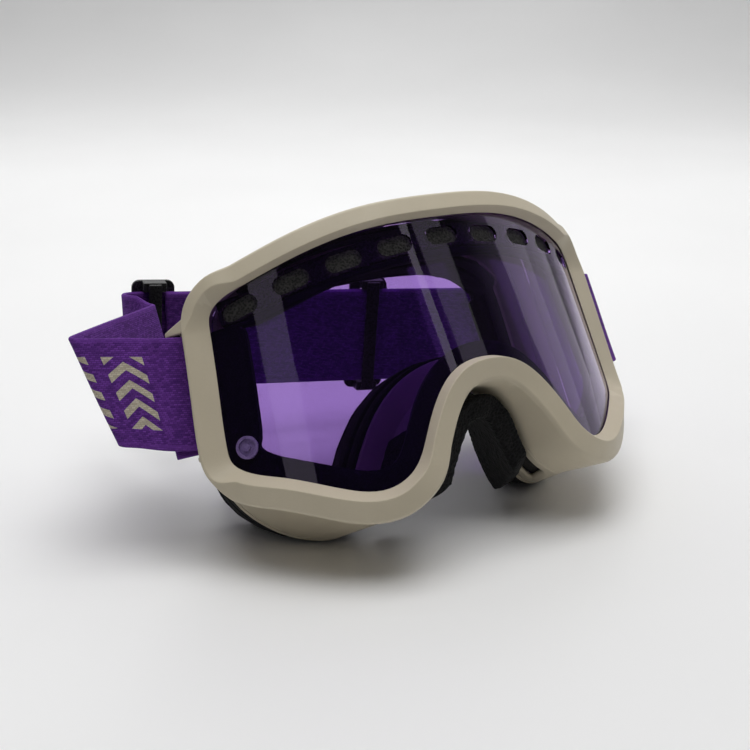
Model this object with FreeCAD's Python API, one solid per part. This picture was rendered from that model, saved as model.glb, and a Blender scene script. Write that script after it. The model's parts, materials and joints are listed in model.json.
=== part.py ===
import FreeCAD, Part
import math
import os

V = FreeCAD.Vector

# ------------------------------------------------------------------ driving dimensions (mm)
# Goggle frame: the lens is a cylinder about the vertical axis through the origin, its front
# faces -Y. A place on it is (s, z, n): arc length s to the wearer's left (+X), height z, and
# n outward from the lens's outer face.
LENS_R = 107.0          # outer face of the outer lens
OUTER_LENS_T = 1.0
INNER_LENS_T = 0.8
OUTER_LENS_EDGE = 0.8   # the lenses reach this far past the outline, into the rebate
INNER_LENS_EDGE = 0.6
LENS_GAP = 4.4          # air gap held by the foam spacer
FIT = 0.15              # clearance between stacked parts
SPACER_FIT = 0.45       # the straight-backed spacer's clearance from the curved inner lens

LEAN = 32.0             # how far the goggles lean back as they stand
FLOOR_DROP = 11.8       # floor below the goggle origin, in the leaned frame

SLOT_PITCH = 18.3       # vent slots along the top of the lens
SLOT_LENGTH = 12.5
SLOT_HEIGHT = 6.0
SLOT_HEIGHTS = (40.7, 39.8, 38.4, 36.4, 33.0)   # centre slot, then outward

STRAP_W = 38.5
STRAP_T = 1.8
POST_R = 1.5
POST_X = 82.8
POST_Y = -62.6
POST_Z = 12.0
POST_FIT = 0.05
LEFT_TAIL = 9.5         # sewn-down length of webbing behind each post
RIGHT_TAIL = 20.0
LOOP_R = POST_R + 0.5 + STRAP_T / 2.0           # centre line of the webbing round a post
SWING_GAP = 1.3         # webbing stops this far from a fold line that is a joint

FOAM_BASE_T = 6.0
FOAM_FACE_T = 9.0
FLEECE_T = 1.6
FLANGE_T = 2.0
FLANGE_W = 11.0

SAMPLES = 3             # points of a rail for each stretch between outline points

# ------------------------------------------------------------------ outlines
# Half outline of the lens, from the top centre round the wearer's left to the nose:
# (s, z, zone). The zone names the cross-section that the rim has there.
LENS_HALF = [
    (0.0, 47.8, "top"),
    (27.0, 47.5, "top"),
    (53.0, 43.9, "top"),
    (70.5, 40.2, "top"),
    (79.0, 37.9, "corner"),
    (83.7, 34.2, "corner"),
    (85.2, 28.5, "side"),
    (88.0, 8.0, "side"),
    (90.2, -8.0, "side"),
    (89.8, -14.0, "side"),
    (85.8, -18.3, "bottom"),
    (74.9, -23.6, "bottom"),
    (58.4, -32.1, "bottom"),
    (43.5, -36.6, "bottom"),
    (34.0, -33.0, "lobe"),
    (26.8, -23.5, "nose"),
    (21.0, -14.5, "nose"),
    (10.7, -5.2, "nose"),
    (0.0, -3.0, "nose"),
]

# The face flange's outer edge (x, y, z), point for point with the outline above.
FACE_HALF = [
    (0.0, -76.0, 56.0),
    (25.0, -73.0, 55.5),
    (46.0, -66.0, 52.0),
    (57.5, -59.0, 48.0),
    (63.5, -55.0, 45.0),
    (67.5, -52.0, 41.0),
    (70.0, -50.0, 35.0),
    (73.5, -46.0, 11.0),
    (74.0, -45.5, -7.0),
    (73.5, -46.0, -15.0),
    (71.5, -47.0, -23.0),
    (65.0, -50.0, -33.5),
    (54.0, -54.0, -42.0),
    (43.0, -58.0, -44.8),
    (33.5, -62.0, -41.5),
    (27.0, -67.0, -33.0),
    (21.5, -73.0, -21.5),
    (12.0, -82.0, -10.5),
    (0.0, -85.5, -7.5),
]

# Cross-sections of the front frame, as (m, n): m outward from the lens edge along the lens
# surface, n proud of the lens. From the lip over the lens round the outside to the rebate.
RIM = {
    "top": [(-0.6, 0.35), (0.5, 4.5), (6.2, 3.1), (7.1, 1.6), (7.3, -8.0),
            (7.0, -16.0), (4.8, -16.0), (4.2, -9.0), (2.3, -9.0), (2.3, 0.35)],
    "corner": [(-0.6, 0.35), (3.4, 5.0), (7.6, 3.8), (8.2, 2.4), (7.6, -5.0),
               (6.4, -16.0), (4.2, -16.0), (4.2, -9.0), (2.3, -9.0), (2.3, 0.35)],
    "side": [(-0.6, 0.35), (6.3, 5.4), (7.2, 5.2), (7.1, 4.0), (4.5, 1.6),
             (4.5, -16.0), (2.6, -16.0), (2.6, -9.0), (2.3, -9.0), (2.3, 0.35)],
    "bottom": [(-0.6, 0.35), (2.8, 5.0), (9.0, 2.6), (9.6, 1.2), (9.0, -7.0),
               (8.2, -16.0), (6.0, -16.0), (4.4, -9.0), (2.3, -9.0), (2.3, 0.35)],
    "lobe": [(-0.6, 0.35), (2.2, 4.8), (8.6, 2.4), (9.2, 1.0), (8.8, -6.5),
             (8.0, -16.0), (5.8, -16.0), (4.4, -9.0), (2.3, -9.0), (2.3, 0.35)],
    "nose": [(-0.6, 0.35), (1.2, 4.5), (7.4, 2.2), (8.0, 0.8), (7.8, -6.0),
             (7.2, -16.0), (5.0, -16.0), (4.2, -9.0), (2.3, -9.0), (2.3, 0.35)],
}
WALL_OUT = 5            # places in a section of the wall's rear edge
WALL_IN = 6

# The black border inside the lens edge: its width, and its extra depth under the slots.
BORDER = {"top": 6.5, "corner": 8.0, "side": 12.0, "bottom": 7.0, "lobe": 6.5, "nose": 6.5}
TOP_BORDER = {"top": 7.4, "corner": 3.0}
OUTER_DROP = 1.42       # the border's outer side drops at least this much more
CORNER_Z = 25.0         # the slots and their foam are above this height


def smooth(t):
    return t * t * (3.0 - 2.0 * t)


def mirrored(half):
    """The half outline and its mirror image as one closed list of points."""
    back = [(-p[0],) + tuple(p[1:]) for p in half[-2:0:-1]]
    return list(half) + back


def periodic(points):
    """A closed spline through the points and the parameters of those points."""
    knots = [0.0]
    for a, b in zip(points, points[1:] + points[:1]):
        knots.append(knots[-1] + (b - a).Length)
    curve = Part.BSplineCurve()
    curve.interpolate(Points=points, PeriodicFlag=True, Parameters=knots)
    return curve, knots


def sampled(half, to_vector):
    """Points and unit tangents along a closed outline, SAMPLES for each stretch."""
    corners = mirrored(half)
    curve, knots = periodic([to_vector(c) for c in corners])
    out = []
    for a, b in zip(knots, knots[1:]):
        for k in range(SAMPLES):
            u = a + (b - a) * k / SAMPLES
            out.append((curve.value(u), curve.getD1(u)[1].normalize()))
    return out


def zone_mix(table, pick):
    """For each sample, the value that pick reads from the table, blended between zones."""
    zones = [c[2] for c in mirrored(LENS_HALF)]
    out = []
    for za, zb in zip(zones, zones[1:] + zones[:1]):
        for k in range(SAMPLES):
            t = smooth(k / SAMPLES)
            a, b = pick(table, za), pick(table, zb)
            out.append(tuple(p + (q - p) * t for p, q in zip(a, b)))
    return out


LENS_LINE = sampled(LENS_HALF, lambda c: V(c[0], c[1], 0))
FACE_LINE = sampled(FACE_HALF, lambda c: V(*c))


def on_lens(s, z, n):
    """A point n outward from the lens surface at arc length s and height z."""
    a = s / LENS_R
    return V((LENS_R + n) * math.sin(a), -(LENS_R + n) * math.cos(a), z)


def lens_rail(offsets, n_values=None, drop=None):
    """Points beside the lens outline: offset m outward along the surface, n proud."""
    out = []
    for i, (p, t) in enumerate(LENS_LINE):
        m = offsets[i] if isinstance(offsets, list) else offsets
        n = n_values[i] if isinstance(n_values, list) else (n_values or 0.0)
        dz = drop[i] if drop else 0.0
        out.append(on_lens(p.x - m * t.y, p.y + m * t.x - dz, n))
    return out


def rim_rail(place):
    """The rail of one corner of the rim's cross-section."""
    mn = zone_mix(RIM, lambda table, zone: table[zone][place])
    return lens_rail([q[0] for q in mn], [q[1] for q in mn])


def face_rail(inset, back):
    """Points inside the face flange's outer edge by inset, and back towards the face."""
    out = []
    for p, t in FACE_LINE:
        flat = V(t.x, 0, t.z).normalize()
        out.append(V(p.x + inset * flat.z, p.y + back, p.z - inset * flat.x))
    return out


# ------------------------------------------------------------------ solids from rails
def shared_knots(rails, closed):
    """Parameters for all the rails of one solid, from the lengths of their middle line."""
    middle = []
    for group in zip(*rails):
        total = V(0, 0, 0)
        for p in group:
            total = total + p
        middle.append(total * (1.0 / len(rails)))
    if closed:
        middle.append(middle[0])
    knots = [0.0]
    for a, b in zip(middle, middle[1:]):
        knots.append(knots[-1] + (b - a).Length)
    return knots


def edges_through(rails, closed):
    """One spline edge for each rail, all with the same knots."""
    knots = shared_knots(rails, closed)
    edges = []
    for points in rails:
        curve = Part.BSplineCurve()
        curve.interpolate(Points=points, PeriodicFlag=closed, Parameters=knots)
        edges.append(curve.toShape())
    return edges


def ruled_faces(edges):
    """The straight-ruled faces from each edge to the next, all run the same way."""
    keep = 1
    return [Part.makeRuledSurface(a, b, keep) for a, b in zip(edges, edges[1:] + edges[:1])]


def sewn(faces):
    shell = Part.Shell(faces)
    shell.sewShape()
    solid = Part.Solid(shell)
    if solid.Volume < 0:
        solid.reverse()
    return solid


def ring(rails):
    """A closed ring whose cross-section's corners run along the rails."""
    edges = edges_through(rails, True)
    return sewn(ruled_faces(edges))


def bar(rails):
    """An open bar between four rails, closed by a pair of triangles at each end."""
    edges = edges_through(rails, False)
    faces = ruled_faces(edges)
    for end in (0, -1):
        c = [r[end] for r in rails]
        faces.append(Part.Face(Part.makePolygon([c[0], c[1], c[2], c[0]])))
        faces.append(Part.Face(Part.makePolygon([c[0], c[2], c[3], c[0]])))
    return sewn(faces)


def shell_between(n_low, n_high):
    """The full cylindrical shell between two depths below the lens's outer face."""
    tall = 200.0
    outer = Part.makeCylinder(LENS_R + n_high, tall, V(0, 0, -tall / 2))
    return outer.cut(Part.makeCylinder(LENS_R + n_low, tall, V(0, 0, -tall / 2)))


def curved_sheet(points, n_low, n_high):
    """A sheet of the lens's curvature, cut along the closed line of points."""
    flat = [V(p.x, 0, p.z) for p in points]
    face = Part.Face(Part.Wire(edges_through([flat], True)))
    block = face.extrude(V(0, -1.2 * LENS_R, 0))
    return block.common(shell_between(n_low, n_high))


def stadium(length, height, depth):
    """A slot-shaped block along -Y, centred on the Y axis."""
    half = length / 2.0 - height / 2.0
    r = height / 2.0
    pts = [V(-half, 0, r), V(half, 0, r), V(half + r, 0, 0), V(half, 0, -r),
           V(-half, 0, -r), V(-half - r, 0, 0)]
    wire = Part.Wire([
        Part.makeLine(pts[0], pts[1]),
        Part.Arc(pts[1], pts[2], pts[3]).toShape(),
        Part.makeLine(pts[3], pts[4]),
        Part.Arc(pts[4], pts[5], pts[0]).toShape(),
    ])
    return Part.Face(wire).extrude(V(0, -depth, 0))


def slot_places():
    """(s, z, tilt) of each vent slot."""
    out = []
    last = len(SLOT_HEIGHTS) - 1
    for i in range(-last, last + 1):
        k = abs(i)
        lo, hi = max(k - 1, 0), min(k + 1, last)
        slope = (SLOT_HEIGHTS[hi] - SLOT_HEIGHTS[lo]) / ((hi - lo) * SLOT_PITCH)
        tilt = math.degrees(math.atan(slope)) if k else 0.0
        out.append((i * SLOT_PITCH, SLOT_HEIGHTS[k], tilt if i > 0 else -tilt))
    return out


def on_slot(shape, s, z, tilt):
    """Move a block made about the Y axis to a slot's place on the lens."""
    shape.rotate(V(0, 0, 0), V(0, 1, 0), -tilt)
    shape.translate(V(0, 0, z))
    shape.rotate(V(0, 0, 0), V(0, 0, 1), math.degrees(s / LENS_R))
    return shape


# ------------------------------------------------------------------ frame body
DISC_R = 3.7            # breather disc, in a hole low on the wearer's right
DISC_S = -83.2
DISC_Z = -10.6
DISC_FIT = 0.1
DISC_RIM = 0.9          # width of its raised edge
DISC_BOSS_R = 1.1       # radius of the raised middle
DISC_DISH = 0.35        # the edge and the middle stand this proud, and the dish lies this deep


def disc_blank(radius, start, end):
    """A disc about the -Y axis between two distances from the lens's axis."""
    return Part.makeCylinder(radius, end - start, V(0, -start, 0), V(0, -1, 0))


def outer_lens():
    through = LENS_R + 5.0
    lens = curved_sheet(lens_rail(OUTER_LENS_EDGE), -OUTER_LENS_T, 0.0)
    for s, z, tilt in slot_places():
        slot = stadium(SLOT_LENGTH, SLOT_HEIGHT, through)
        lens = lens.cut(on_slot(slot, s, z, tilt))
    hole = disc_blank(DISC_R + DISC_FIT, 0.5 * LENS_R, through)
    return lens.cut(on_slot(hole, DISC_S, DISC_Z, 0.0))


INNER_N = -(OUTER_LENS_T + LENS_GAP)


def inner_lens():
    edge = lens_rail(INNER_LENS_EDGE, INNER_N)
    return curved_sheet(edge, INNER_N - INNER_LENS_T, INNER_N)


def border_drop():
    pick = lambda table, zone: (table.get(zone, 0.0),)
    return [q[0] for q in zone_mix(TOP_BORDER, pick)]


SLOT_FOAM_UP = 4.6      # the slot foam's edges, from the middle of the slots
SLOT_FOAM_LOW = 3.8
SLOT_FOAM_END = 7.4     # past the middle of the last slot
SLOT_FOAM_PARTS = 24
LENS_EDGE_GAP = 0.3


def slot_height(s):
    """Height of the row of slots at arc length s."""
    k = min(abs(s) / SLOT_PITCH, len(SLOT_HEIGHTS) - 1.001)
    j = int(k)
    return SLOT_HEIGHTS[j] + (SLOT_HEIGHTS[j + 1] - SLOT_HEIGHTS[j]) * (k - j)


def spacer_drop(inner_drop):
    """How far the spacer's outer side drops, so that it stays below the slot foam."""
    out = []
    for (p, t), d in zip(LENS_LINE, inner_drop):
        room = 0.0
        if p.y > CORNER_Z:
            highest = slot_height(p.x) - SLOT_FOAM_LOW - SPACER_FIT
            room = p.y + LENS_EDGE_GAP * t.x - highest
        out.append(max(OUTER_DROP * d, room))
    return out


def lens_spacer():
    """Foam ring between the lenses. Along the top it runs under the vent slots."""
    front, back = -OUTER_LENS_T - FIT, INNER_N + SPACER_FIT
    inner_drop = border_drop()
    outer_drop = spacer_drop(inner_drop)
    window = [-q[0] for q in zone_mix(BORDER, lambda table, zone: (table[zone],))]
    return ring([
        lens_rail(LENS_EDGE_GAP, front, outer_drop),
        lens_rail(LENS_EDGE_GAP, back, outer_drop),
        lens_rail(window, back, inner_drop),
        lens_rail(window, front, inner_drop),
    ])


def slot_foam():
    """Open-cell foam strip behind the vent slots."""
    reach = SLOT_PITCH * (len(SLOT_HEIGHTS) - 1) + SLOT_FOAM_END
    front, back = -OUTER_LENS_T - FIT, INNER_N + FIT
    places = [2 * reach * i / SLOT_FOAM_PARTS - reach for i in range(SLOT_FOAM_PARTS + 1)]
    rails = []
    for lift, n in ((SLOT_FOAM_UP, front), (SLOT_FOAM_UP, back),
                    (-SLOT_FOAM_LOW, back), (-SLOT_FOAM_LOW, front)):
        rails.append([on_lens(s, slot_height(s) + lift, n) for s in places])
    return bar(rails)


EAR_GAP = 0.9           # from the webbing's edge to an ear
EAR_T = 2.6
EAR_FRONT = 2.6         # an ear's outer face, outward of the post
EAR_DEPTH = 5.6
EAR_NEAR = STRAP_W / 2.0 + EAR_GAP
POST_REACH = EAR_NEAR + EAR_T - 0.5

# Outlines of the ears' outer ends, as (along the lens from the post, height beyond EAR_NEAR).
UPPER_EAR = [(-11.0, 0.0), (2.7, 0.0), (2.7, 1.8), (0.5, EAR_T), (-7.0, 5.0), (-11.0, 5.0)]
LOWER_EAR = [(-6.0, 0.0), (2.7, 0.0), (2.7, 1.8), (1.0, EAR_T), (-1.5, 5.5), (-6.0, 6.5)]


def ear(side, up):
    """A moulded ear that holds one end of a strap post, drawn into the frame's corner."""
    a = math.atan2(POST_X, -POST_Y)
    along = V(math.cos(a), math.sin(a), 0)
    outward = V(math.sin(a), -math.cos(a), 0)
    outline = UPPER_EAR if up > 0 else LOWER_EAR
    pts = []
    for t, lift in outline:
        height = POST_Z + up * (EAR_NEAR + lift)
        p = V(POST_X, POST_Y, height) + along * t + outward * EAR_FRONT
        pts.append(V(side * p.x, p.y, p.z))
    back = outward * -EAR_DEPTH
    return Part.Face(Part.makePolygon(pts + pts[:1])).extrude(V(side * back.x, back.y, 0))


def post(side):
    return Part.makeCylinder(POST_R, 2 * POST_REACH, V(side * POST_X, POST_Y, POST_Z - POST_REACH))


def front_frame():
    body = ring([rim_rail(i) for i in range(len(RIM["top"]))])
    reach = POST_REACH + POST_FIT
    for side in (-1, 1):
        for up in (-1, 1):
            body = body.fuse(ear(side, up))
        low = V(side * POST_X, POST_Y, POST_Z - reach)
        body = body.cut(Part.makeCylinder(POST_R + POST_FIT, 2 * reach, low))
    return body


def wall_rail(place, gap):
    """The front frame's rear edge, moved back by a gap, in the goggle's own space."""
    mn = zone_mix(RIM, lambda table, zone: table[zone][place])
    return lens_rail([q[0] for q in mn], [q[1] - gap for q in mn])


# Vent windows in the face frame's wall, as (x, width, middle y, low z, high z).
TOP_VENTS = [(x, 15.0, -83.5 + 0.0042 * x * x, 44.0, 66.0) for x in (-44, -22, 0, 22, 44)]
NOSE_VENTS = [(x, 12.0, -78.0, -44.0, -14.0) for x in (-27, 27)]
VENT_DEPTH = 7.5


def vent_window(x, width, y, z_low, z_high):
    corner = V(x - width / 2, y - VENT_DEPTH / 2, z_low)
    return Part.makeBox(width, VENT_DEPTH, z_high - z_low, corner)


def face_frame():
    """The wall behind the lens and the flange that carries the face foam."""
    body = ring([
        wall_rail(WALL_OUT, FIT),
        face_rail(0.0, 0.0),
        face_rail(0.0, FLANGE_T),
        face_rail(FLANGE_W, FLANGE_T),
        face_rail(FLANGE_W, 0.0),
        face_rail(WALL_T, 0.0),
        wall_rail(WALL_IN, FIT),
    ])
    for window in TOP_VENTS + NOSE_VENTS:
        body = body.cut(vent_window(*window))
    return body


STRIP_T = 2.0
STRIP_GAP = 0.35
STRIP_FRONT = 0.12      # shares of the wall's depth that a strip covers
STRIP_BACK = 0.86
WALL_T = 2.4
TOP_STRIP = 3           # the top strip's end, in outline points from the middle
LOW_STRIP = (13, 16)    # the lower strips' ends, in outline points from the top


def inner_strip(first, last):
    """A foam strip along the inside of the face frame's wall, between two samples."""
    front = wall_rail(WALL_IN, FIT)
    back = face_rail(WALL_T, 0.0)
    rows = [[], [], [], []]
    count = len(front)
    for i in range(first, last + 1):
        k = i % count
        p, t = FACE_LINE[k]
        inward = V(t.z, 0, -t.x).normalize()
        a = front[k] + (back[k] - front[k]) * STRIP_FRONT + inward * STRIP_GAP
        b = front[k] + (back[k] - front[k]) * STRIP_BACK + inward * STRIP_GAP
        rows[0].append(a)
        rows[1].append(b)
        rows[2].append(b + inward * STRIP_T)
        rows[3].append(a + inward * STRIP_T)
    return bar(rows)


def top_wall_foam():
    return inner_strip(-TOP_STRIP * SAMPLES, TOP_STRIP * SAMPLES)


def low_wall_foam(side):
    """The strip over the vent beside the nose, on one side."""
    first, last = [k * SAMPLES for k in LOW_STRIP]
    if side > 0:
        return inner_strip(first, last)
    count = len(LENS_LINE)
    return inner_strip(count - last, count - first)


LAYER_FIT = 0.1         # between the layers of the face foam


def foam_ring(front, back, outer, inner, slope, round_edge):
    """One layer of the face foam. Its outer side leans in by slope towards the face."""
    return ring([
        face_rail(outer, front),
        face_rail(outer + slope, back - round_edge),
        face_rail(outer + slope + round_edge, back),
        face_rail(inner - round_edge, back),
        face_rail(inner, back - round_edge),
        face_rail(inner, front),
    ])


FOAM_FRONT = FLANGE_T + LAYER_FIT
FACE_FRONT = FOAM_FRONT + FOAM_BASE_T + LAYER_FIT
FLEECE_FRONT = FACE_FRONT + FOAM_FACE_T + LAYER_FIT
REAR = FLEECE_FRONT + FLEECE_T

# Layers of the face foam: front, back, outer edge, inner edge, slope and edge rounding. The
# edges are measured inward from the flange's outer edge.
FOAM_LAYERS = {
    "face_foam_base": (FOAM_FRONT, FACE_FRONT - LAYER_FIT, 0.6, FLANGE_W + 1.0, 1.2, 0.3),
    "face_foam_pad": (FACE_FRONT, FLEECE_FRONT - LAYER_FIT, 1.7, FLANGE_W + 2.0, 2.6, 0.4),
    "face_fleece": (FLEECE_FRONT, REAR, 4.6, FLANGE_W + 1.6, 0.3, 0.8),
}


NOSE_FIRST = 14 * SAMPLES + 2
NOSE_LAST = 22 * SAMPLES - 2
NOSE_M = 10.8           # the nose foam's front, outward of the lens outline
NOSE_N = -6.0           # and behind the lens's face, over the bridge of the nose
NOSE_SWEEP = 9.0        # further behind it at the foam's two ends
NOSE_THICK = 7.2
NOSE_LEAN = 4.0         # its inner side starts this far behind its outer side
NOSE_GAP = 1.5
NOSE_BACK = 6.0         # its rear, behind the front of the face flange


def nose_foam():
    """Soft foam that fills the arch over the nose, flaring towards the face."""
    outer_m, inner_m = NOSE_M, NOSE_M + NOSE_THICK
    front_outer, front_inner, rear_outer, rear_inner = [], [], [], []
    middle = (NOSE_FIRST + NOSE_LAST) / 2.0
    for i in range(NOSE_FIRST, NOSE_LAST + 1):
        p, t = LENS_LINE[i]
        n = NOSE_N - NOSE_SWEEP * ((i - middle) / (NOSE_LAST - middle)) ** 2
        front_outer.append(on_lens(p.x - outer_m * t.y, p.y + outer_m * t.x, n))
        front_inner.append(on_lens(p.x - inner_m * t.y, p.y + inner_m * t.x, n - NOSE_LEAN))
        p, t = FACE_LINE[i]
        out = V(-t.z, 0, t.x).normalize()
        rear = p + V(0, NOSE_BACK, 0)
        rear_outer.append(rear + out * NOSE_GAP)
        rear_inner.append(rear + out * (NOSE_GAP + NOSE_THICK))
    return bar([front_outer, rear_outer, rear_inner, front_inner])


def breather():
    """Round breather disc in the outer lens, with a shallow dish round its middle."""
    back, face = LENS_R - OUTER_LENS_T, LENS_R + DISC_DISH
    dish = disc_blank(DISC_R - DISC_RIM, LENS_R - DISC_DISH, face)
    dish = dish.cut(disc_blank(DISC_BOSS_R, back, face))
    return on_slot(disc_blank(DISC_R, back, face).cut(dish), DISC_S, DISC_Z, 0.0)


# ------------------------------------------------------------------ strap
def lean_axis(lean):
    """The webbing's width direction from (lean, tilt): lean 0 runs along the goggle's
    height and LEAN is upright, tilt turns the top edge towards -X."""
    a, b = math.radians(lean[0]), math.radians(lean[1])
    return V(-math.sin(b), -math.sin(a) * math.cos(b), math.cos(a) * math.cos(b))


FLAT = (0.0, 0.0)


def from_stand(x, y, z):
    """A place given in the standing pose, in the goggle's own frame."""
    a = math.radians(LEAN)
    return V(x, y * math.cos(a) - z * math.sin(a), y * math.sin(a) + z * math.cos(a))


def rounded_path(corners):
    """Points along a path whose corners are rounded: (point, lean, radius) each."""
    out = [(corners[0][0], corners[0][1])]
    for (a, la, _), (b, lb, r), (c, lc, _) in zip(corners, corners[1:], corners[2:]):
        d1 = (b - a).normalize()
        d2 = (c - b).normalize()
        turn = d1.getAngle(d2)
        cut = r * math.tan(turn / 2.0)
        start, end = b - d1 * cut, b + d2 * cut
        steps = max(2, int(math.degrees(turn) / 22.0) + 1)
        for k in range(steps + 1):
            t = k / steps
            swing = turn * t
            along = r * math.sin(swing)
            aside = r * (1.0 - math.cos(swing))
            normal = (d2 - d1 * d1.dot(d2)).normalize()
            out.append((start + d1 * along + normal * aside, lb))
    out.append((corners[-1][0], corners[-1][1]))
    return filled(out)


def filled(stations, step=2.5):
    """The same path with points added, so that no run is longer than step."""
    out = [stations[0]]
    for (a, la), (b, lb) in zip(stations, stations[1:]):
        n = max(1, int(math.ceil((b - a).Length / step)))
        for k in range(1, n + 1):
            t = k / n
            mix = tuple(p + (q - p) * smooth(t) for p, q in zip(la, lb))
            out.append((a + (b - a) * t, mix))
    return out


def ribbon(stations, width=STRAP_W, thick=STRAP_T, shift=0.0):
    """Webbing along stations of (centre, lean), moved aside by shift."""
    rails = [[], [], [], []]
    last = len(stations) - 1
    for i, (p, lean) in enumerate(stations):
        a = stations[max(i - 1, 0)][0]
        b = stations[min(i + 1, last)][0]
        along = (b - a).normalize()
        wide = lean_axis(lean)
        thin = along.cross(wide).normalize()
        for rail, (w, n) in zip(rails, ((-1, -1), (-1, 1), (1, 1), (1, -1))):
            rail.append(p + wide * (w * width / 2) + thin * (n * thick / 2 + shift))
    return bar(rails)


# Places along the strap in the standing pose, before the floor is set: x, y, z.
LEFT_CREASE = from_stand(-113.3, -39.0, 47.8)
REAR_LEFT = from_stand(-77.0, 37.2, 40.0)
REAR_RIGHT = from_stand(78.0, -0.6, 28.9)
RIGHT_BULGE = from_stand(106.0, -38.0, 40.0)
LEFT_FOLD = from_stand(-69.5, 6.0, 41.8)
SHIFT = V(LEFT_FOLD.x + POST_X, LEFT_FOLD.y - POST_Y, 0)
RIGHT_FOLD = V(POST_X + SHIFT.x, POST_Y + SHIFT.y, 23.0)

CREASE_R = 1.6          # how tightly the webbing turns at these places
CREASE_LEAN = (2.0, 11.5)
BULGE_R = 6.0
REAR_LEFT_R = 5.0
REAR_RIGHT_R = 8.0


def toward(a, b, distance):
    return a + (b - a).normalize() * distance


TURN_STEPS = 8          # stretches of webbing in the turn round a post


def post_turn(side, far):
    """The webbing's turn round a post: the post's centre, the ways out and rear, stations."""
    centre = V(side * POST_X, POST_Y, POST_Z)
    out = V(far.x - centre.x, far.y - centre.y, 0).normalize()
    rear = V(-out.y, out.x, 0) * side
    turn = []
    for k in range(TURN_STEPS + 1):
        a = math.radians(90 - 180 * k / TURN_STEPS)
        turn.append((centre + rear * (math.sin(a) * LOOP_R) - out * (math.cos(a) * LOOP_R), FLAT))
    return centre, out, rear, turn


LEAD = 9.0              # the webbing runs straight this far past the post
LEAD_SHIFT = 0.2        # and starts its run this far in front of the loop's middle


def strap_arm(side, far, fold, crease_r, far_lean):
    """One side of the strap: turn round the post, run out to the crease, run back."""
    centre, out, rear, turn = post_turn(side, far)
    lead = centre + out * LEAD - rear * LEAD_SHIFT
    end = toward(fold, far, SWING_GAP)
    corners = [(lead, FLAT, 0.0), (far, far_lean, crease_r), (end, FLAT, 0.0)]
    return ribbon(filled(turn + rounded_path(corners)))


TAIL_GAP = 0.24


def strap_tail(side, far, length):
    """The sewn-down end of the webbing, lying behind the outgoing run."""
    centre, out, rear, turn = post_turn(side, far)
    aside = rear * (STRAP_T + TAIL_GAP)
    tail = [(centre + out * length + aside, FLAT), (centre + out * length / 2 + aside, FLAT)]
    return ribbon(filled(tail + [turn[0]])[:-1])


REAR_DIR = (REAR_RIGHT - REAR_LEFT).normalize()
UPRIGHT = (LEAN, 0.0)


def rear_band():
    start = toward(LEFT_FOLD, REAR_LEFT, SWING_GAP)
    end = toward(RIGHT_FOLD, REAR_RIGHT, SWING_GAP)
    corners = [(start, FLAT, 0.0), (REAR_LEFT, UPRIGHT, REAR_LEFT_R),
               (REAR_RIGHT, UPRIGHT, REAR_RIGHT_R), (end, FLAT, 0.0)]
    return ribbon(rounded_path(corners))


def rear_frame_at(x):
    """Centre and axes of the straight rear run where it crosses x."""
    t = (x - REAR_LEFT.x) / (REAR_RIGHT.x - REAR_LEFT.x)
    centre = REAR_LEFT + (REAR_RIGHT - REAR_LEFT) * t
    wide = lean_axis(UPRIGHT)
    wide = (wide - REAR_DIR * wide.dot(REAR_DIR)).normalize()
    thin = REAR_DIR.cross(wide).normalize()
    return centre, REAR_DIR, wide, thin


SLIDER_LEFT_X = -64.0
SLIDER_RIGHT_X = 21.5
OVERLAP_INSET = 5.0     # the doubled webbing starts this far past the left slider's middle
OVERLAP_REACH = 13.0    # and ends this far past the right one's
LAYER_GAP = 0.1


def rear_overlap():
    """The second layer of webbing between the sliders, on the outer side."""
    a = rear_frame_at(SLIDER_LEFT_X + OVERLAP_INSET)[0]
    b = rear_frame_at(SLIDER_RIGHT_X + OVERLAP_REACH)[0]
    return ribbon(filled([(a, UPRIGHT), (b, UPRIGHT)]), shift=STRAP_T + LAYER_GAP)


def rounded_plate(length, width, thick, radius):
    block = Part.makeBox(length, width, thick, V(-length / 2, -width / 2, 0))
    edges = [e for e in block.Edges
             if abs(e.Vertexes[0].Point.x - e.Vertexes[1].Point.x) < 1e-6
             and abs(e.Vertexes[0].Point.y - e.Vertexes[1].Point.y) < 1e-6]
    return block.makeFillet(radius, edges)


SLIDER_LENGTH = 16.5
SLIDER_W = 46.8
SLIDER_CORNER = 3.0
PLATE_T = 1.8
PLATE_GAP = 0.4         # from the webbing to the face plate
WINDOW_LENGTH = 7.6
WINDOW_CORNER = 1.2
WINDOW_FIT = 0.8        # the window is this much wider than the webbing
CAP_LENGTH = 9.0
CAP_FIT = 0.5
CAP_LAP = 0.3           # how far the end caps run into the plate and the bar
BAR_LENGTH = 5.0
BAR_T = 1.7
BAR_GAP = 0.5           # from the outer layer of webbing to the bar


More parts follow.
